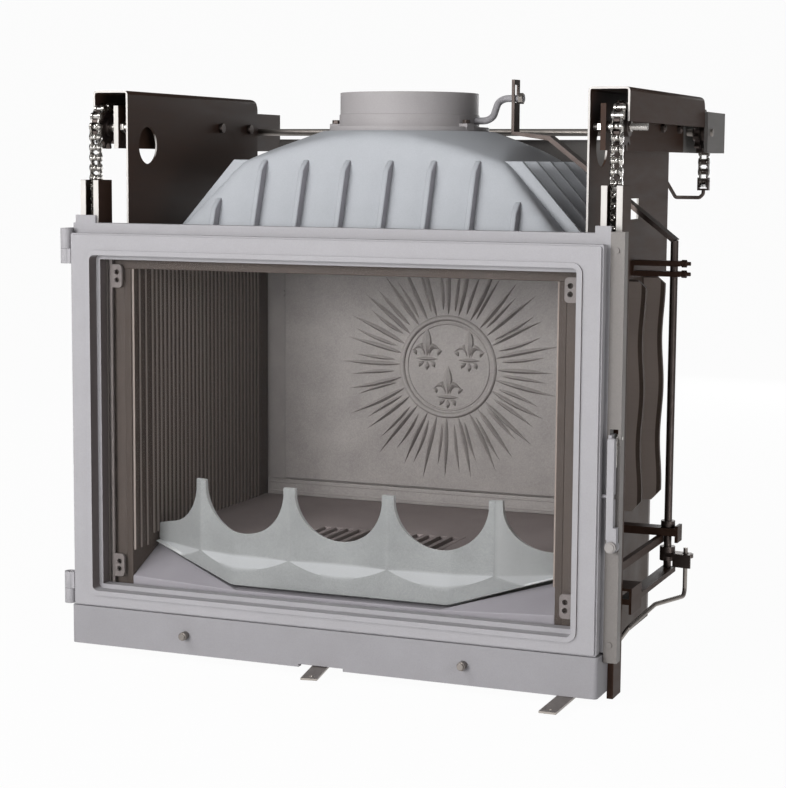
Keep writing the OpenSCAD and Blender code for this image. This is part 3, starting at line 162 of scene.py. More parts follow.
def dark_sheet(name, bare_glinting_front=False, bare_behind=None):
    """Thin dark brown paint over rolled steel: faint streaks along the sheet, a soft satin.
    Where the front is bare, the upper edges cut square to it show the steel, drawn near-white as a
    painted glint, from a height of 0.45 to 0.6 m up. What lies further back than bare_behind is bare as well."""
    dark, light, rough = "#37271F", "#48352C", 0.5
    streak, streak_draw, peel_size = 0.0111, 0.15, 0.00111
    glint_from_height, glint_full_height = 0.45, 0.6
    material, tree, output, place = blank(name)
    stretched = joined(tree, "ShaderNodeMapping", {"Vector": place, "Scale": (1.0, streak_draw, 1.0)})
    streaks = joined(tree, "ShaderNodeTexNoise",
                     {"Vector": stretched.outputs[0], "Scale": 1 / streak, "Detail": 5.0, "Roughness": 0.6})
    peel = joined(tree, "ShaderNodeTexNoise", {"Vector": place, "Scale": 1 / peel_size, "Detail": 2.0})
    colour = joined(tree, "ShaderNodeMix",
                    {"Factor": streaks.outputs["Fac"], 6: linear(dark), 7: linear(light)},
                    data_type="RGBA")
    # Painted glint: the bare front faces above a given height are drawn near-white, as their reflection.
    if bare_glinting_front:
        facing = joined(tree, "ShaderNodeTexCoord")
        split = joined(tree, "ShaderNodeSeparateXYZ", {0: facing.outputs["Normal"]})
        height = joined(tree, "ShaderNodeSeparateXYZ", {0: place})
        high_enough = joined(tree, "ShaderNodeMapRange",
                       {"Value": height.outputs["Z"], "From Min": glint_from_height, "From Max": glint_full_height})
        bare = joined(tree, "ShaderNodeMapRange",
                      {"Value": split.outputs["Y"], "From Min": -0.75, "From Max": -0.95,
                       "To Max": high_enough.outputs[0]})
        colour = joined(tree, "ShaderNodeMix",
                        {"Factor": bare.outputs[0], 6: colour.outputs[2], 7: linear("#D8D4D0")},
                        data_type="RGBA")
    if bare_behind:
        depth = joined(tree, "ShaderNodeSeparateXYZ", {0: place})
        bare = joined(tree, "ShaderNodeMapRange",
                      {"Value": depth.outputs["Y"], "From Min": bare_behind,
                       "From Max": bare_behind + 0.003})
        colour = joined(tree, "ShaderNodeMix",
                        {"Factor": bare.outputs[0], 6: colour.outputs[2], 7: linear("#7B7876")},
                        data_type="RGBA")
    satin = joined(tree, "ShaderNodeMapRange",
                   {"Value": streaks.outputs["Fac"], "To Min": rough - 0.08, "To Max": rough + 0.12})
    bump = joined(tree, "ShaderNodeBump",
                  {"Height": peel.outputs["Fac"], "Strength": 0.25, "Distance": 0.0001})
    body = joined(tree, "ShaderNodeBsdfPrincipled",
                  {"Base Color": colour.outputs[2], "Roughness": satin.outputs[0],
                   "Specular IOR Level": 0.12, "Normal": bump.outputs["Normal"]})
    tree.links.new(body.outputs[0], output.inputs[0])
    return material


def bare_steel(name, dark, light, rough, mark=0.0012):
    """Bare metal with the marks of its making and a cloudy tarnish. Marks of a tool are some tenths of a
    millimetre apart, too fine to show, so they are drawn as coarse as the eye can just see."""
    cloud = 0.0167
    material, tree, output, place = blank(name)
    clouds = joined(tree, "ShaderNodeTexNoise", {"Vector": place, "Scale": 1 / cloud, "Detail": 4.0})
    marks = joined(tree, "ShaderNodeTexNoise",
                   {"Vector": place, "Scale": 1 / mark, "Detail": 2.0, "Roughness": 0.7})
    colour = joined(tree, "ShaderNodeMix",
                    {"Factor": clouds.outputs["Fac"], 6: linear(dark), 7: linear(light)},
                    data_type="RGBA")
    shine = joined(tree, "ShaderNodeMapRange",
                   {"Value": marks.outputs["Fac"], "To Min": rough - 0.1, "To Max": rough + 0.15})
    bump = joined(tree, "ShaderNodeBump",
                  {"Height": marks.outputs["Fac"], "Strength": 0.15, "Distance": 0.00008})
    body = joined(tree, "ShaderNodeBsdfPrincipled",
                  {"Base Color": colour.outputs[2], "Metallic": 1.0, "Roughness": shine.outputs[0],
                   "Normal": bump.outputs["Normal"]})
    tree.links.new(body.outputs[0], output.inputs[0])
    return material


# Folded sheet under thin paint looks almost black, with a hint of brown and a soft satin.
brown_sheet = dark_sheet("brown painted sheet steel")
finish(brown_sheet, "base_pan")
# Stove paint hides the iron under an even, slightly rough grey that does not shine.
plinth_paint = sand_casting("silver stove paint on the plinth", "#8D8B8E", "#98969A", grain=0.0014)
finish(plinth_paint, "plinth")
# Paint on pressed steel is finer and glossier than on a casting.
tray_paint = sand_casting("black paint on pressed steel", "#3B3432", "#4A423F", rough=0.5, grain=0.0012)
finish(tray_paint, "ash_pan")
# Turned studs that have gone dull give a broad, weak glint.
stud_steel = bare_steel("dull turned steel", "#6E6864", "#97918C", rough=0.42)
finish(stud_steel, "plinth_studs")
soften(0.0008, "base_pan", "plinth_studs", "ash_pan")
soften(0.0016, "plinth")

# Hearth floor, grate and sill: the floor is a dark slab with a loose grate, and the sill a pale casting
# that climbs to the walls. All are sand cast iron, the sill with a lilac cast from its thin grey coat.

# Bare cast iron that has been used is matt and coarse, a red-grey that is dark in the firebox's shade.
floor_iron = sand_casting("bare dark iron of the hearth floor", "#978B89", "#ACA09F", rough=0.7,
                          grain=0.0024)
finish(floor_iron, "hearth_floor", "grate")
# A thin coat over iron keeps the sand's skin, and looks lilac beside the greener guard.
sill_iron = sand_casting("thin grey coat on the iron sill", "#9C989F", "#AAA6AC")
finish(sill_iron, "front_sill")
soften(0.0012, "hearth_floor", "front_sill")

# Log guard: a scalloped iron casting that stands on the sill and keeps the logs off the glass. Each bay
# is a shallow niche between two ridges, with a sloping shelf at its foot, over a plain skirt that leans
# on the walls by two wings. It is bare new iron, with painted light on its upward faces and right flanks.

guard_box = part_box("log_guard")
bay = 0.162
prong = 0.019
prong_top = guard_box[1].z
scallop_low = 0.1915
shelf_top = 0.158
niche_depth = 0.0135
shelf_fall = 1.45
skirt_bend = 0.178
skirt_foot = 0.107
skirt_end = guard_box[1].x
wing_foot = 0.152
guard_front = guard_box[0].y
wing_back = 0.058
guard_depth = 0.0165
foot_gap = 0.0065
foot_fade = 0.05
ridge_half = 0.0012
ridge_foot = 0.005
last_scallop = 2 * bay - 0.012
wing_rise, wing_fall = 0.0015, 0.0065
prong_taper = 0.006
least_step = 0.001


def scallop(x):
    """Height of the guard's upper edge."""
    half = (bay - prong) / 2
    rise = prong_top - scallop_low
    arc = (half * half + rise * rise) / (2 * rise)
    if abs(x) > last_scallop:
        along = (abs(x) - last_scallop) / (skirt_end - last_scallop)
        return scallop_low + wing_rise - wing_fall * along
    away = abs(x) - bay * round(abs(x) / bay)
    if abs(away) >= half:
        return prong_top
    return scallop_low + arc - math.sqrt(arc * arc - away * away)


def along_wing(x):
    """How far along a wing of the guard x is, from 0 at the bend to 1 at the wall."""
    return max(0.0, (abs(x) - skirt_bend) / (skirt_end - skirt_bend))


def niche(x):
    """Depth of the niche at x: an arc between two ridges."""
    away = abs(x - bay * round(x / bay))
    half = bay / 2 - ridge_half
    radius = (half * half + niche_depth * niche_depth) / (2 * niche_depth)
    return math.sqrt(radius * radius - away * away) - radius + niche_depth if away < half else 0.0


arc_steps = 16
stations = []
for i in range(-2, 3):
    reach = (bay - prong) / 2
    stations += [i * bay + reach * math.sin(math.pi / 2 * t / arc_steps)
                 for t in range(-arc_steps, arc_steps + 1)]
    stations += [(i + 0.5) * bay + step for step in (-ridge_foot, -ridge_half, ridge_half, ridge_foot)]
stations = [-skirt_end] + sorted(x for x in stations if abs(x) < skirt_end - least_step) + [skirt_end]
skirt_rows, shelf_rows, wall_rows = 4, 6, 14
rows = skirt_rows + shelf_rows + wall_rows
bpy.ops.object.select_all(action="DESELECT")
bpy.ops.mesh.primitive_grid_add(x_subdivisions=len(stations) - 1, y_subdivisions=rows, size=2)
guard = bpy.context.object
guard.name = "scalloped_log_guard"
for point in guard.data.vertices:
    x = stations[round((point.co.x + 1) / 2 * (len(stations) - 1))]
    row = round((point.co.y + 1) / 2 * rows)
    foot = skirt_foot + (wing_foot - skirt_foot) * along_wing(x) + foot_gap
    shelf_low = max(shelf_top - shelf_fall * niche(x), foot + least_step)
    if row <= skirt_rows:
        z = foot + (shelf_low - foot) * row / skirt_rows
        inward = 0.0
    elif row <= skirt_rows + shelf_rows:
        z = shelf_low + (shelf_top - shelf_low) * (row - skirt_rows) / shelf_rows
        inward = max(0.0, niche(x) - (shelf_top - z) / shelf_fall)
    else:
        z = shelf_top + (scallop(x) - shelf_top) * (row - skirt_rows - shelf_rows) / wall_rows
        inward = niche(x)
    point.co = (x, guard_front + wing_back * along_wing(x) + inward, z)
bpy.ops.object.mode_set(mode="EDIT")
bpy.ops.mesh.select_all(action="SELECT")
bpy.ops.mesh.extrude_region_move(TRANSFORM_OT_translate={"value": (0, guard_depth, 0)})
bpy.ops.object.mode_set(mode="OBJECT")
for point in guard.data.vertices:
    if point.select:
        thinning = max(0.0, point.co.z - scallop_low) / (prong_top - scallop_low)
        back = guard_depth - prong_taper * min(1.0, thinning)
        point.co.y = guard_front + wing_back * along_wing(point.co.x) + back
        drop = 1 - min(1.0, (point.co.z - skirt_foot) / foot_fade)
        point.co.z -= foot_gap * (point.co.z < wing_foot) * drop


def seal_up(piece):
    """Merges doubled points of a closed mesh and turns all its faces outwards."""
    bpy.ops.object.select_all(action="DESELECT")
    piece.select_set(True)
    bpy.context.view_layer.objects.active = piece
    bpy.ops.object.mode_set(mode="EDIT")
    bpy.ops.mesh.select_all(action="SELECT")
    bpy.ops.mesh.remove_doubles(threshold=0.00001)
    bpy.ops.mesh.normals_make_consistent(inside=False)
    bpy.ops.object.mode_set(mode="OBJECT")


def round_edges(piece, width, segments=2, angle=35):
    """Rounds the sharp edges of a new piece and shades it smooth between them."""
    bpy.ops.object.select_all(action="DESELECT")
    piece.select_set(True)
    bpy.context.view_layer.objects.active = piece
    edge = piece.modifiers.new("edge", "BEVEL")
    edge.width = width
    edge.segments = segments
    edge.limit_method = "ANGLE"
    edge.angle_limit = math.radians(angle)
    bpy.ops.object.modifier_apply(modifier=edge.name)
    bpy.ops.object.shade_smooth_by_angle(angle=math.radians(angle))


def heat_tone_and_painted_light_facing(way, colour, start, full, most=0.8, half=1.0):
    """A colour on faces that look one way, for heat colour on the back wall and painted light and shade
    elsewhere: from where it starts to where it is full, how much of it there is at most, and how far from
    the middle of the part it reaches."""
    return way, colour, start, full, most, half


seal_up(guard)
round_edges(guard, 0.0036, 4)
# Painted light: new bare iron is a greenish grey with a coarse skin, painted paler on its upward faces,
# near-white on the tops, and paler on its flanks that look right.
painted_light_on_top_and_right = [heat_tone_and_painted_light_facing((0, 0, 1), "#BDBFC1", 0.2, 0.55),
                 heat_tone_and_painted_light_facing((0, 0, 1), "#EDEFEF", 0.6, 0.8),
                 heat_tone_and_painted_light_facing((1, 0, 0), "#E6E8E8", 0.3, 0.85)]
guard_iron = sand_casting("bare new iron of the log guard", "#8B8D8D", "#A0A2A2", rough=0.56,
                          grain=0.0024, tints=painted_light_on_top_and_right)
guard.data.materials.append(guard_iron)
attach(guard, "firebox")
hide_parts("log_guard")

# Walls of the firebox: two fluted side walls with cooling fins outside, the back wall with its skirting
# and the front frame, bolted together. They are sand cast iron, left bare. Heat has turned the sides and
# the frame brown, and the inside of the back wall a grey like the fireback's.

# Painted light: the faces that look out of the mouth are painted paler, as lit from the front, but not the
# flat ends behind the frame, which keep the brown, nor the fins outside.
flute_reach, wall_inside = 0.386, 0.358
browned_iron = sand_casting("browned bare iron of the walls", "#3F342D", "#594B43",
                            tints=[heat_tone_and_painted_light_facing((0, -1, 0), "#A89B94", 0.25, 0.85, half=flute_reach),
                                   heat_tone_and_painted_light_facing((0, -1, 0), "#4A3F39", 0.97, 0.99, most=1.0,
                                              half=wall_inside)])
finish(browned_iron, "side_wall_left", "side_wall_right")
# The frame stands further from the fire, so its brown is paler and a little greyer.
frame_iron = sand_casting("browned bare iron of the front frame", "#463C37", "#5B504A")
finish(frame_iron, "front_frame")
# The back wall is burnt to a clean grey inside and stays brown outside.
back_iron = sand_casting("grey-brown bare iron of the back wall", "#9E9896", "#B5AFAC",
                         tints=[heat_tone_and_painted_light_facing((0, 1, 0), "#5A4C45", 0.5, 0.9, most=0.95)])
finish(back_iron, "back_wall")
soften(0.0015, "front_frame", "back_wall")

# Fireback: a loose iron plate before the back wall, held by four bolts at its sides. A sun is cast on
# it, a double ring with tapering rays and three lilies within. It is bare iron, gone grey-brown.

plate_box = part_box("fireback")
sun_x, sun_z = 0.0, 0.415
ring_radius, ring_thick = 0.084, 0.0048
inner_gap, inner_thick = 0.0095, 0.0020
ray_count, ray_reach = 56, 0.200
ray_wide, ray_narrow = 0.0096, 0.0078
ray_swell, ray_fullest = 1.05, 0.38
plate_face = 0.189
sink = 0.3


def stroke(start, end, width, height, sway=0.0, fullest=0.5):
    """A raised stroke on the face of the plate: a spindle from start to end, bowed sideways by sway, and
    sunk in the plate by a share of its height."""
    bpy.ops.mesh.primitive_uv_sphere_add(segments=8, ring_count=10, radius=1)
    spindle = bpy.context.object
    along = Vector(end) - Vector(start)
    across = Vector((-along.y, along.x)).normalized()
    for point in spindle.data.vertices:
        share = (point.co.z + 1) / 2
        round_way = Vector((point.co.x, point.co.y))
        if round_way.length > 0.001:
            round_way.normalize()
        swell = math.sin(math.pi * share ** (math.log(0.5) / math.log(fullest)))
        middle = Vector(start) + along * share + across * (sway * math.sin(math.pi * share))
        flat = middle + across * (round_way.x * width / 2 * swell)
        lift = (round_way.y - sink) * height * swell
        point.co = (flat.x, plate_face - lift, flat.y)
    return spindle


def combine(name, parts):
    """Joins parts into one piece, with its place in its mesh."""
    bpy.ops.object.select_all(action="DESELECT")
    for part in parts:
        part.select_set(True)
    bpy.context.view_layer.objects.active = parts[0]
    bpy.ops.object.join()
    bpy.ops.object.transform_apply(location=True, rotation=True, scale=True)
    parts[0].name = name
    return parts[0]


def unlike(i, step, amount):
    """A small difference for ray i, so that no two are alike, as where a pattern is cut by hand."""
    return amount * math.sin(step * i)


sun = []
bpy.ops.object.select_all(action="DESELECT")
for i in range(ray_count):
    turn = 2 * math.pi * (i + unlike(i, 2.3, 0.18)) / ray_count
    far = ray_reach - (0.022 if i % 2 else 0.004) + unlike(i, 1.7, 0.007)
    near = ring_radius + (0.012 if i % 2 else 0.006) + unlike(i, 3.1, 0.003)
    way = Vector((math.sin(turn), math.cos(turn)))
    centre = Vector((sun_x, sun_z))
    size = ray_narrow if i % 2 else ray_wide
    sun.append(stroke(centre + way * near, centre + way * far, size, size * ray_swell,
                      unlike(i, 2.7, 0.0022), ray_fullest))


def lily(x, z, size):
    """A lily of six strokes: a pointed petal, two that curl outwards, a band and a foot of three."""
    strokes = [((0, -7), (0, 25), 12, 7, 0)]
    for side in (-1, 1):
        strokes += [((side * 2.5, -7), (side * 17, -1), 7.5, 6, side * 9),
                    ((side * 17.5, 0), (side * 12, -6), 5, 5, -side * 1.5),
                    ((side * 3, -12), (side * 9, -19), 6, 5, side * 1.5)]
    strokes += [((-13, -9.5), (13, -9.5), 5, 6, 0), ((0, -12), (0, -22), 6.5, 5, 0)]
    made = []
    for start, end, width, height, sway in strokes:
        first = Vector((x, z)) + Vector(start) * size
        last = Vector((x, z)) + Vector(end) * size
        made.append(stroke(first, last, width * size, height * size, sway * size))
    return made


lily_size = 0.0016
for lily_x, lily_z in ((-0.0385, 0.028), (0.0385, 0.028), (0, -0.037)):
    sun += lily(sun_x + lily_x, sun_z + lily_z, lily_size)
for radius, thickness in ((ring_radius, ring_thick), (ring_radius - inner_gap, inner_thick)):
    bpy.ops.mesh.primitive_torus_add(major_radius=radius, minor_radius=thickness, major_segments=96,
                                     minor_segments=10, location=(sun_x, plate_face, sun_z),
                                     rotation=(math.pi / 2, 0, 0))
    sun.append(bpy.context.object)
strip_half = 0.3375
for low, high, proud in ((0.1725, 0.200, 0.0008), (0.193, 0.197, 0.003), (0.177, 0.180, 0.002)):
    bpy.ops.mesh.primitive_cube_add(size=1, location=(0, plate_face, (low + high) / 2),
                                    scale=(2 * strip_half, 2 * proud, high - low))
    strip = bpy.context.object
    bpy.ops.object.transform_apply(location=True, rotation=True, scale=True)
    round_edges(strip, proud / 2)
    sun.append(strip)
plate_low, plate_high = Vector(plate_box[0]), Vector(plate_box[1])
plate_low.y = plate_face
bpy.ops.mesh.primitive_cube_add(size=1, location=(plate_low + plate_high) / 2, scale=plate_high - plate_low)
plate = bpy.context.object
bpy.ops.object.transform_apply(location=True, rotation=True, scale=True)
round_edges(plate, 0.0025, 3)
sun_plate = combine("fireback_with_cast_sun", [plate] + sun)
bpy.ops.object.shade_smooth_by_angle(angle=math.radians(40))
sun_plate.data.materials.clear()
# Painted shade under and to the right of the rays, and painted light above and to the left of them, as from a
# lamp at the upper left, which makes the low relief plain to see.
painted_shade_and_light_on_relief = [heat_tone_and_painted_light_facing((0.3, 0, -0.95), "#4E4744", 0.12, 0.6, most=0.6),
                 heat_tone_and_painted_light_facing((-0.3, 0, 0.95), "#C9C3BF", 0.2, 0.8, most=0.4)]
fireback_iron = sand_casting("grey-brown bare iron of the fireback", "#9E9896", "#BBB5B2", rough=0.58,
                             grain=0.0026, tints=painted_shade_and_light_on_relief)
sun_plate.data.materials.append(fireback_iron)
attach(sun_plate, "firebox")
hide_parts("fireback")
finish(fireback_iron, "fireback_bolts")

# Smoke hood: one hollow iron casting, bolted by its flange to the walls. Its crown is a shallow cone cut
# by four slopes, with the corners well rounded, ribs down the front and fins down the sides.
# It has silver-grey stove paint, sprayed on while it stands, so it lies thin and even.

hood_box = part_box("hood")
hood_foot = 0.607
hood_top = hood_box[1].z
hood_side, side_slope = 0.358, 0.894
hood_front, front_slope = 0.218, 0.33
hood_rear = 0.205
seat_radius, crown_slope = 0.13875, 2.7
flue_radius = 0.10275
shell = 0.008
even_mesh = 0.0068
tall = hood_top - hood_foot
bpy.ops.object.select_all(action="DESELECT")
spare = 0.04
base_radius = seat_radius + crown_slope * (tall + spare)
bpy.ops.mesh.primitive_cone_add(vertices=128, radius1=base_radius,
                                radius2=seat_radius - crown_slope * spare,
                                depth=tall + 2 * spare, location=(0, 0, hood_foot + tall / 2))
hood = bpy.context.object
bpy.ops.object.transform_apply(location=True, rotation=True, scale=True)
bpy.ops.object.mode_set(mode="EDIT")
slopes = [((hood_side, 0, hood_foot), (1, 0, side_slope)),
          ((-hood_side, 0, hood_foot), (-1, 0, side_slope)),
          ((0, -hood_front, hood_foot), (0, -1, front_slope)),
          ((0, hood_rear, hood_foot), (0, 1, front_slope))]
for spot, way in slopes:
    bpy.ops.mesh.select_all(action="SELECT")
    bpy.ops.mesh.bisect(plane_co=spot, plane_no=way, use_fill=True, clear_outer=True, threshold=0.00001)
bpy.ops.object.mode_set(mode="OBJECT")
even = hood.modifiers.new("even", "REMESH")
even.mode = "VOXEL"
even.voxel_size = even_mesh
bpy.ops.object.modifier_apply(modifier=even.name)
worn_round = hood.modifiers.new("worn round", "SMOOTH")
worn_round.factor = 0.5
worn_round.iterations = 14
bpy.ops.object.modifier_apply(modifier=worn_round.name)
bpy.ops.object.mode_set(mode="EDIT")
for height, way in ((hood_top, 1), (hood_foot, -1)):
    bpy.ops.mesh.select_all(action="SELECT")
    bpy.ops.mesh.bisect(plane_co=(0, 0, height), plane_no=(0, 0, way), use_fill=way > 0,
                        clear_outer=True, threshold=0.00001)
bpy.ops.mesh.select_mode(type="FACE")
bpy.ops.mesh.select_all(action="DESELECT")
bpy.ops.object.mode_set(mode="OBJECT")
for face in hood.data.polygons:
    face.select = face.normal.z > 0.999 and face.center.z > hood_top - 0.001
bpy.ops.object.mode_set(mode="EDIT")
bpy.ops.mesh.inset(thickness=seat_radius - flue_radius)
bpy.ops.mesh.delete(type="FACE")
bpy.ops.mesh.select_all(action="SELECT")
bpy.ops.mesh.normals_make_consistent(inside=False)
bpy.ops.object.mode_set(mode="OBJECT")
wall_of_hood = hood.modifiers.new("wall", "SOLIDIFY")
wall_of_hood.thickness = shell
wall_of_hood.offset = -1
bpy.ops.object.modifier_apply(modifier=wall_of_hood.name)


def cut_slab(outline, across, start, thick):
    """A flat bar: an outline in the upright plane square to X or Y, drawn out by its thickness."""
    bpy.ops.mesh.primitive_circle_add(vertices=len(outline), radius=1, fill_type="NGON")
    bar = bpy.context.object
    for point, (u, z) in zip(bar.data.vertices, outline):
        point.co = (start, u, z) if across == "X" else (u, start, z)
    bpy.ops.object.mode_set(mode="EDIT")
    bpy.ops.mesh.select_all(action="SELECT")
    way = (thick, 0, 0) if across == "X" else (0, thick, 0)
    bpy.ops.mesh.extrude_region_move(TRANSFORM_OT_translate={"value": way})
    bpy.ops.mesh.select_all(action="SELECT")
    bpy.ops.mesh.normals_make_consistent(inside=False)
    bpy.ops.object.mode_set(mode="OBJECT")
    return bar


rib_pitch, rib_thick = 0.0705, 0.009
rib_reach, rib_root = 0.0165, 0.005
fin_reach, fin_root, fin_first = 0.024, 0.008, -0.145
rib_low, rib_high, short_rib_high = hood_foot + 0.018, hood_foot + 0.159, hood_foot + 0.099


def front_at(z):
    """Where the front slope stands at a height."""
    return -hood_front + front_slope * (z - hood_foot)


def side_at(z):
    """Where the side slope stands at a height."""
    return hood_side - side_slope * (z - hood_foot)


def rib_seen_from_the_side(high):
    """Outline of a front rib: a chamfered toe, a straight crest, and a tip that dies away in the slope."""
    points = [(rib_low, rib_root), (rib_low, 0.004 - rib_reach), (rib_low + 0.008, -rib_reach),
              (high - 0.016, -rib_reach), (high - 0.006, -0.009), (high, -0.003), (high, rib_root)]
    return [(front_at(z) + proud, z) for z, proud in points]


parts = [hood]
bpy.ops.object.select_all(action="DESELECT")
for i in range(-4, 4):
    high = short_rib_high if i in (-4, 3) else rib_high
    rib = cut_slab(rib_seen_from_the_side(high), "X", (i + 0.5) * rib_pitch - rib_thick / 2, rib_thick)
    round_edges(rib, 0.0024, 3)
    parts.append(rib)
for side in (-1, 1):
    for i in range(5):
        points = [(rib_low, -fin_root), (rib_low, fin_reach), (rib_high, fin_reach), (rib_high, -fin_root)]
        outline = [(side * (side_at(z) + proud), z) for z, proud in points]
        fin = cut_slab(outline, "Y", fin_first + i * rib_pitch - rib_thick / 2, rib_thick)
        round_edges(fin, 0.0018, 2)
        parts.append(fin)
flange_low = hood_box[0]
flange_half = -flange_low.x
flange_lap, edge_lap = 0.012, 0.001
bpy.ops.mesh.primitive_plane_add(size=2, location=(0, 0, hood_foot))
flange = bpy.context.object
corners = {(-1, -1): (-flange_half, flange_low.y), (1, -1): (flange_half, flange_low.y),
           (-1, 1): (-flange_half, hood_box[1].y), (1, 1): (flange_half, hood_box[1].y)}
for point in flange.data.vertices:
    x, y = corners[(round(point.co.x), round(point.co.y))]
    point.co = (x, y, 0)
bpy.ops.object.transform_apply(location=True, rotation=True, scale=True)
bpy.ops.object.mode_set(mode="EDIT")
bpy.ops.mesh.select_all(action="SELECT")
bpy.ops.mesh.inset(thickness=0.02)
bpy.ops.object.mode_set(mode="OBJECT")
for point in flange.data.vertices:
    if point.select:
        point.co.x = math.copysign(hood_side - shell - flange_lap, point.co.x)
        point.co.y = (-hood_front + shell + edge_lap if point.co.y < 0
                      else hood_rear - shell - edge_lap)
bpy.ops.object.mode_set(mode="EDIT")
bpy.ops.mesh.delete(type="FACE")
bpy.ops.mesh.select_all(action="SELECT")
bpy.ops.mesh.normals_make_consistent(inside=False)
bpy.ops.object.mode_set(mode="OBJECT")
plate_of_flange = flange.modifiers.new("plate", "SOLIDIFY")
plate_of_flange.thickness = hood_foot - hood_box[0].z
plate_of_flange.offset = -1
bpy.ops.object.modifier_apply(modifier=plate_of_flange.name)
round_edges(flange, 0.0015)
parts.append(flange)
hood = combine("ribbed_smoke_hood", parts)
bpy.ops.object.shade_smooth_by_angle(angle=math.radians(35))
hood.data.materials.clear()
# Sprayed paint is bluer and smoother here than on the door. The faces that look right are painted darker, as
# painted shade.
hood_paint = sand_casting("silver stove paint on the hood", "#A6A9AE", "#B1B4B9", rough=0.55,
                          tints=[heat_tone_and_painted_light_facing((1, 0, 0), "#98949A", 0.7, 0.95)])
hood.data.materials.append(hood_paint)
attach(hood, "firebox")
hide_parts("hood")

# Flue collar and damper: the collar is an iron ring, bolted on the crown by three lugs, and the damper
# disc turns in it on a spindle of bent rod. Collar and spindle have stove paint, the disc black paint.

# The flue's heat has browned the collar's paint a little.
collar_paint = sand_casting("silver stove paint on the collar", "#9A9697", "#A5A1A2", rough=0.55)
finish(collar_paint, "flue_collar")
finish(tray_paint, "damper_disc")
# The paint of door and spindle is the plain silver-grey, even and matt.
stove_paint = sand_casting("silver stove paint on iron", "#9C9A9D", "#A6A4A8", grain=0.0014)
finish(stove_paint, "damper_spindle")
soften(0.0012, "flue_collar")
soften(0.0008, "damper_disc")

# Sheet work of the lift: channels, brackets, yokes and guides, folded from steel sheet or sawn from bar,
# with a thin dark brown heat-proof paint. The front edges of channels and brackets are bare, with a
# painted glint, the end of the right yoke is bare, and the counterweight is a bar with a thin grey coat.

# Sawn edges that the paint does not cover are a bright line down each channel, drawn near-white as a painted
# glint.
edged_sheet = dark_sheet("brown painted sheet steel with bare edges", bare_glinting_front=True)
finish(edged_sheet, "channel_left", "channel_right", "bracket_left", "bracket_right", "yoke_left")
# The arm's end sticks out behind its bracket, a plain grey.
yoke_sheet = dark_sheet("brown painted sheet steel with a bare end",
                        bare_behind=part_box("bracket_right")[1].y)
finish(yoke_sheet, "yoke_right")
finish(brown_sheet, "rod_guides", "guide_stay")
# A rolled bar has a finer skin than a casting, so its coat lies flatter.
rolled_bar = sand_casting("thin grey coat on the counterweight", "#5A5654", "#696562", rough=0.5,
                          grain=0.0012)
finish(rolled_bar, "counterweight")
soften(0.0008, "channel_left", "channel_right", "bracket_left", "bracket_right", "yoke_left",
       "yoke_right", "rod_guides", "guide_stay", "counterweight")

# Axles, shafts, sprockets, levers and fasteners: turned pins and axles, levers and rods of rolled steel,
# and sprockets, bolts and straps of steel that is oiled or blackened. None of them is painted.

# Fresh from the lathe: bright, with sharp reflections.
bright_steel = bare_steel("bare turned steel", "#A5A19C", "#D6D2CD", rough=0.26)
finish(bright_steel, "front_axles", "hinge_pins", "clip_screws", "latch_pin", "latch_spring")
# Rolled and handled: a broader, greyer glint.
dull_steel = bare_steel("dull rolled steel", "#857E79", "#ABA59F", rough=0.42)
finish(dull_steel, "air_lever", "damper_pull", "crank_nut", "rear_shaft")
# Oil and soot take most of the shine and leave a warm near-black.
oiled_steel = bare_steel("oiled dark steel", "#4F4643", "#6E6561", rough=0.45)
finish(oiled_steel, "hood_bolts", "collar_bolts", "damper_strap", "chain_anchors", "counterweight_hooks",
       "sprocket_front_left", "sprocket_front_right", "rear_sprockets", "yoke_bolts")
soften(0.0006, "yoke_bolts", "front_axles", "rear_shaft", "hood_bolts", "collar_bolts", "damper_strap",
       "crank_nut", "air_lever")

# Roller chains: two chains of hardened plates, pins and rollers, riveted and tumbled bright. When the
# door lifts, what hangs in each channel gathers at its top, and the same length pays out behind.

# Tumbling rounds the plates and leaves patches of bright and dark, so a chain glitters.
chain_steel = bare_steel("tumbled chain steel", "#6F6965", "#DEDBD6", rough=0.2, mark=0.003)
finish(chain_steel, "chain_top_runs", "chain_rear_runs")
wheel_z = 0.815
chain_pitch = 0.015875
links_kept = 4.5
front_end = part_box("chain_front_runs")[0].z
gather_z = wheel_z - links_kept * chain_pitch


def run_of_chain(name, keep_above, keep_below):
    """A copy of the front runs, cut square to keep what lies between two heights."""
    bpy.ops.object.select_all(action="DESELECT")
    bpy.ops.mesh.primitive_plane_add(size=0.01)
    run = bpy.context.object
    run.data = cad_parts["chain_front_runs"].data.copy()
    run.data.materials.clear()
    run.data.materials.append(chain_steel)
    run.name = name
    bpy.ops.object.mode_set(mode="EDIT")
    bpy.ops.mesh.select_all(action="SELECT")
    bpy.ops.mesh.remove_doubles(threshold=0.000005)
    for height, way in ((keep_below, 1), (keep_above, -1)):
        bpy.ops.mesh.select_all(action="SELECT")
        bpy.ops.mesh.bisect(plane_co=(0, 0, height), plane_no=(0, 0, way), use_fill=True,
                            clear_outer=True, threshold=0.000001)
    bpy.ops.object.mode_set(mode="OBJECT")
    bpy.ops.object.shade_smooth_by_angle(angle=math.radians(40))
    return run


upper_run = run_of_chain("chain_at_the_front_wheels", gather_z, 1.0)
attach(upper_run, "firebox")
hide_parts("chain_front_runs")
lower_run = run_of_chain("chain_in_the_channels", 0.0, gather_z)
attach(lower_run, "firebox")
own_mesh(lower_run)


def even_share(share):
    """The place on a smooth step at which its value is this share."""
    return 0.5 - math.sin(math.asin(1 - 2 * share) / 3)


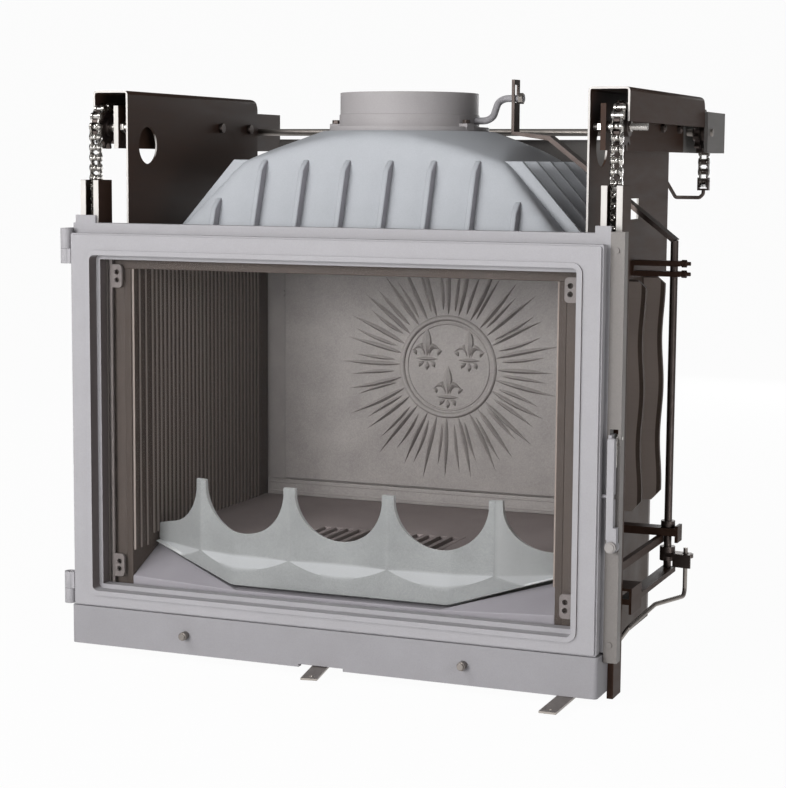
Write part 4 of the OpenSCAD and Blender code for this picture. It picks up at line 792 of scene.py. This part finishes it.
rear_overlap = 0.006
rear_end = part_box("chain_rear_runs")[0].z + rear_overlap
store = 0.009
cut_short = 0.012
front_y = (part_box("chain_front_runs")[0].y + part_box("chain_front_runs")[1].y) / 2
rear_y = (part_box("chain_rear_runs")[0].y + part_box("chain_rear_runs")[1].y) / 2
paid_out = run_of_chain("chain_paid_out_behind", front_end + cut_short, gather_z - cut_short)
heights = [point.co.z for point in paid_out.data.vertices]
highest, lowest = max(heights), min(heights)
for point in paid_out.data.vertices:
    share = (highest - point.co.z) / (highest - lowest)
    point.co.y += rear_y - front_y
    point.co.z = rear_end - store * even_share(share)
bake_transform(paid_out)

# Carriage and door: iron castings in silver-grey stove paint, hinged on two pins. The post that the
# latch is set in is milled steel bar with a thinner, browner coat, screwed to the carriage, and the
# shoes are bronze and slide in the channels.

# Painted shade: the steps beside the glass that look right, away from the lamp at the left, are painted a dark
# brown.
door_paint = sand_casting("silver stove paint, with painted shade beside the glass", "#9C9A9D", "#A6A4A8",
                          grain=0.0014,
                          tints=[heat_tone_and_painted_light_facing((1, 0, 0), "#4C403C", 0.55, 0.85, half=0.4)])
finish(door_paint, "door_frame")
finish(stove_paint, "carriage_frame", "hinge_lugs")
# A thin coat on milled bar is flat and lets the steel's warmth through.
post_paint = sand_casting("thin coat on the latch post", "#726D6A", "#827D7A", rough=0.5, grain=0.0012)
finish(post_paint, "latch_post", "post_screws")
# Bronze that rubs in a channel stays a clean yellow-brown.
bronze = bare_steel("plain bronze", "#8C7A46", "#B5A26A", rough=0.4)
finish(bronze, "guide_shoes")
soften(0.0014, "door_frame", "carriage_frame", "latch_post")
soften(0.0008, "hinge_lugs", "guide_shoes")

# Door glass and its seals: a plain sheet of ceramic glass on a flat woven gasket, held by two pressed
# strips behind it, and a knitted rope of glass fibre round the back of the door.

# Clean ceramic glass hardly shows, but for a smooth reflection and a faint smoky tint.
glass, tree, output, _ = blank("clear ceramic glass")
pane = joined(tree, "ShaderNodeBsdfPrincipled",
              {"Base Color": linear("#6A6866"), "Roughness": 0.03, "Alpha": 0.03})
tree.links.new(pane.outputs[0], output.inputs[0])
finish(glass, "door_glass")
# The rope's strands are 2 mm wide and dusty dark, and scatter the light. A diagonal wave of scale 1 has
# a band each 2 pi / (10 sqrt 3), which gives the strands their width.
strand = 0.00227
wave_of_one = 2 * math.pi / (10 * math.sqrt(3))
rope, tree, output, place = blank("knitted glass fibre rope")
strands = joined(tree, "ShaderNodeTexWave",
                 {"Vector": place, "Scale": wave_of_one / strand, "Distortion": 1.0, "Detail": 1.0},
                 bands_direction="DIAGONAL")
colour = joined(tree, "ShaderNodeMix",
                {"Factor": strands.outputs["Fac"], 6: linear("#4A4542"), 7: linear("#5E5855")},
                data_type="RGBA")
bump = joined(tree, "ShaderNodeBump",
              {"Height": strands.outputs["Fac"], "Strength": 0.4, "Distance": 0.0006})
body = joined(tree, "ShaderNodeBsdfPrincipled",
              {"Base Color": colour.outputs[2], "Roughness": 0.9, "Normal": bump.outputs["Normal"]})
tree.links.new(body.outputs[0], output.inputs[0])
finish(rope, "door_seal", "glass_gasket")
# The strips are pressed from sheet, so their coat is flat, and it is smoked.
clip_paint = sand_casting("grey coat on the glass strips", "#78706E", "#8A8280", rough=0.5,
                          grain=0.0012)
finish(clip_paint, "glass_clips")
soften(0.0005, "glass_clips")

# Latch: a small iron lever that a pin holds in the post, with a turned knob screwed to its end. Both
# have the door's stove paint, which the hand has rubbed darker on the knob.

finish(stove_paint, "latch_lever")
# Rubbed paint is smoother, so the knob has a small clear highlight.
knob_paint = sand_casting("rubbed paint on the latch knob", "#8E8987", "#9D9896", rough=0.38,
                          grain=0.0012)
finish(knob_paint, "latch_knob")
soften(0.0008, "latch_lever")

# Studio: a white floor and a white surround that show as plain paper, and broad soft lamps that light the
# part at a plain level. The floor keeps the part's shadow, and the lens stands where the photograph's did.

floor_glow, surround_glow, surround_light = 0.965, 0.97, 0.2
bpy.ops.object.select_all(action="DESELECT")
bpy.ops.mesh.primitive_plane_add(size=30, location=(0, 0, -0.0005))
floor = bpy.context.object
floor.name = "studio_floor"
white, tree, output, _ = blank("white studio floor")
seen = tree.nodes.new("ShaderNodeLightPath")
chalk = joined(tree, "ShaderNodeBsdfDiffuse", {"Color": (0.8, 0.8, 0.8, 1.0)})
glow = joined(tree, "ShaderNodeEmission", {"Color": (1.0, 1.0, 1.0, 1.0), "Strength": 1.0})
shown = joined(tree, "ShaderNodeMath",
               {0: seen.outputs["Is Camera Ray"], 1: seen.outputs["Is Glossy Ray"]}, operation="MAXIMUM")
shown = joined(tree, "ShaderNodeMath",
               {0: shown.outputs[0], 1: seen.outputs["Is Transmission Ray"]}, operation="MAXIMUM")
share = joined(tree, "ShaderNodeMath", {0: shown.outputs[0], 1: floor_glow}, operation="MULTIPLY")
mixed = joined(tree, "ShaderNodeMixShader",
               {0: share.outputs[0], 1: chalk.outputs[0], 2: glow.outputs[0]})
tree.links.new(mixed.outputs[0], output.inputs[0])
floor.data.materials.append(white)

world = bpy.data.worlds.new("white surround")
bpy.context.scene.world = world
world.use_nodes = True
tree = world.node_tree
tree.nodes.clear()
output = tree.nodes.new("ShaderNodeOutputWorld")
seen = tree.nodes.new("ShaderNodeLightPath")
dim = joined(tree, "ShaderNodeBackground",
             {"Color": (1.0, 1.0, 1.0, 1.0), "Strength": surround_light})
full = joined(tree, "ShaderNodeBackground",
              {"Color": (1.0, 1.0, 1.0, 1.0), "Strength": surround_glow})
shown = joined(tree, "ShaderNodeMath",
               {0: seen.outputs["Is Camera Ray"], 1: seen.outputs["Is Transmission Ray"]},
               operation="MAXIMUM")
mixed = joined(tree, "ShaderNodeMixShader",
               {0: shown.outputs[0], 1: dim.outputs[0], 2: full.outputs[0]})
tree.links.new(mixed.outputs[0], output.inputs[0])


def softbox(name, place, aim, width, height, power):
    """A broad lamp at a place, turned to face a point."""
    lamp = bpy.data.lights.new(name, "AREA")
    lamp.shape = "RECTANGLE"
    lamp.size = width
    lamp.size_y = height
    lamp.energy = power
    stand = bpy.data.objects.new(name, lamp)
    bpy.context.scene.collection.objects.link(stand)
    stand.location = place
    stand.rotation_euler = (Vector(aim) - Vector(place)).to_track_quat("-Z", "Y").to_euler()


softbox("key from the left", (-2.0, -2.9, 3.3), (0, -0.2, 0.4), 1.6, 1.6, 62)
softbox("fill from the front", (-0.75, -4.3, 1.1), (0, 0, 0.35), 1.6, 1.2, 116)
softbox("low fill from the right", (2.6, -1.6, 0.8), (0.45, 0, 0.45), 1.0, 0.6, 13)
softbox("fill from behind", (0, 4.0, 0.9), (0, 0.2, 0.5), 1.6, 1.2, 28)

eye_place = (1.164, -2.9569, 0.7611)
turned_left, tilted_down, rolled = 21.911, 6.692, 0.391
lens = bpy.data.cameras.new("photograph")
lens.sensor_width = 36.0
lens.lens = 89.69
eye = bpy.data.objects.new("photograph", lens)
bpy.context.scene.collection.objects.link(eye)
eye.matrix_world = (Matrix.Translation(eye_place)
                    @ Matrix.Rotation(math.radians(turned_left), 4, "Z")
                    @ Matrix.Rotation(math.radians(90 - tilted_down), 4, "X")
                    @ Matrix.Rotation(math.radians(rolled), 4, "Z"))
bpy.context.scene.camera = eye
bpy.context.scene.view_settings.view_transform = "Standard"
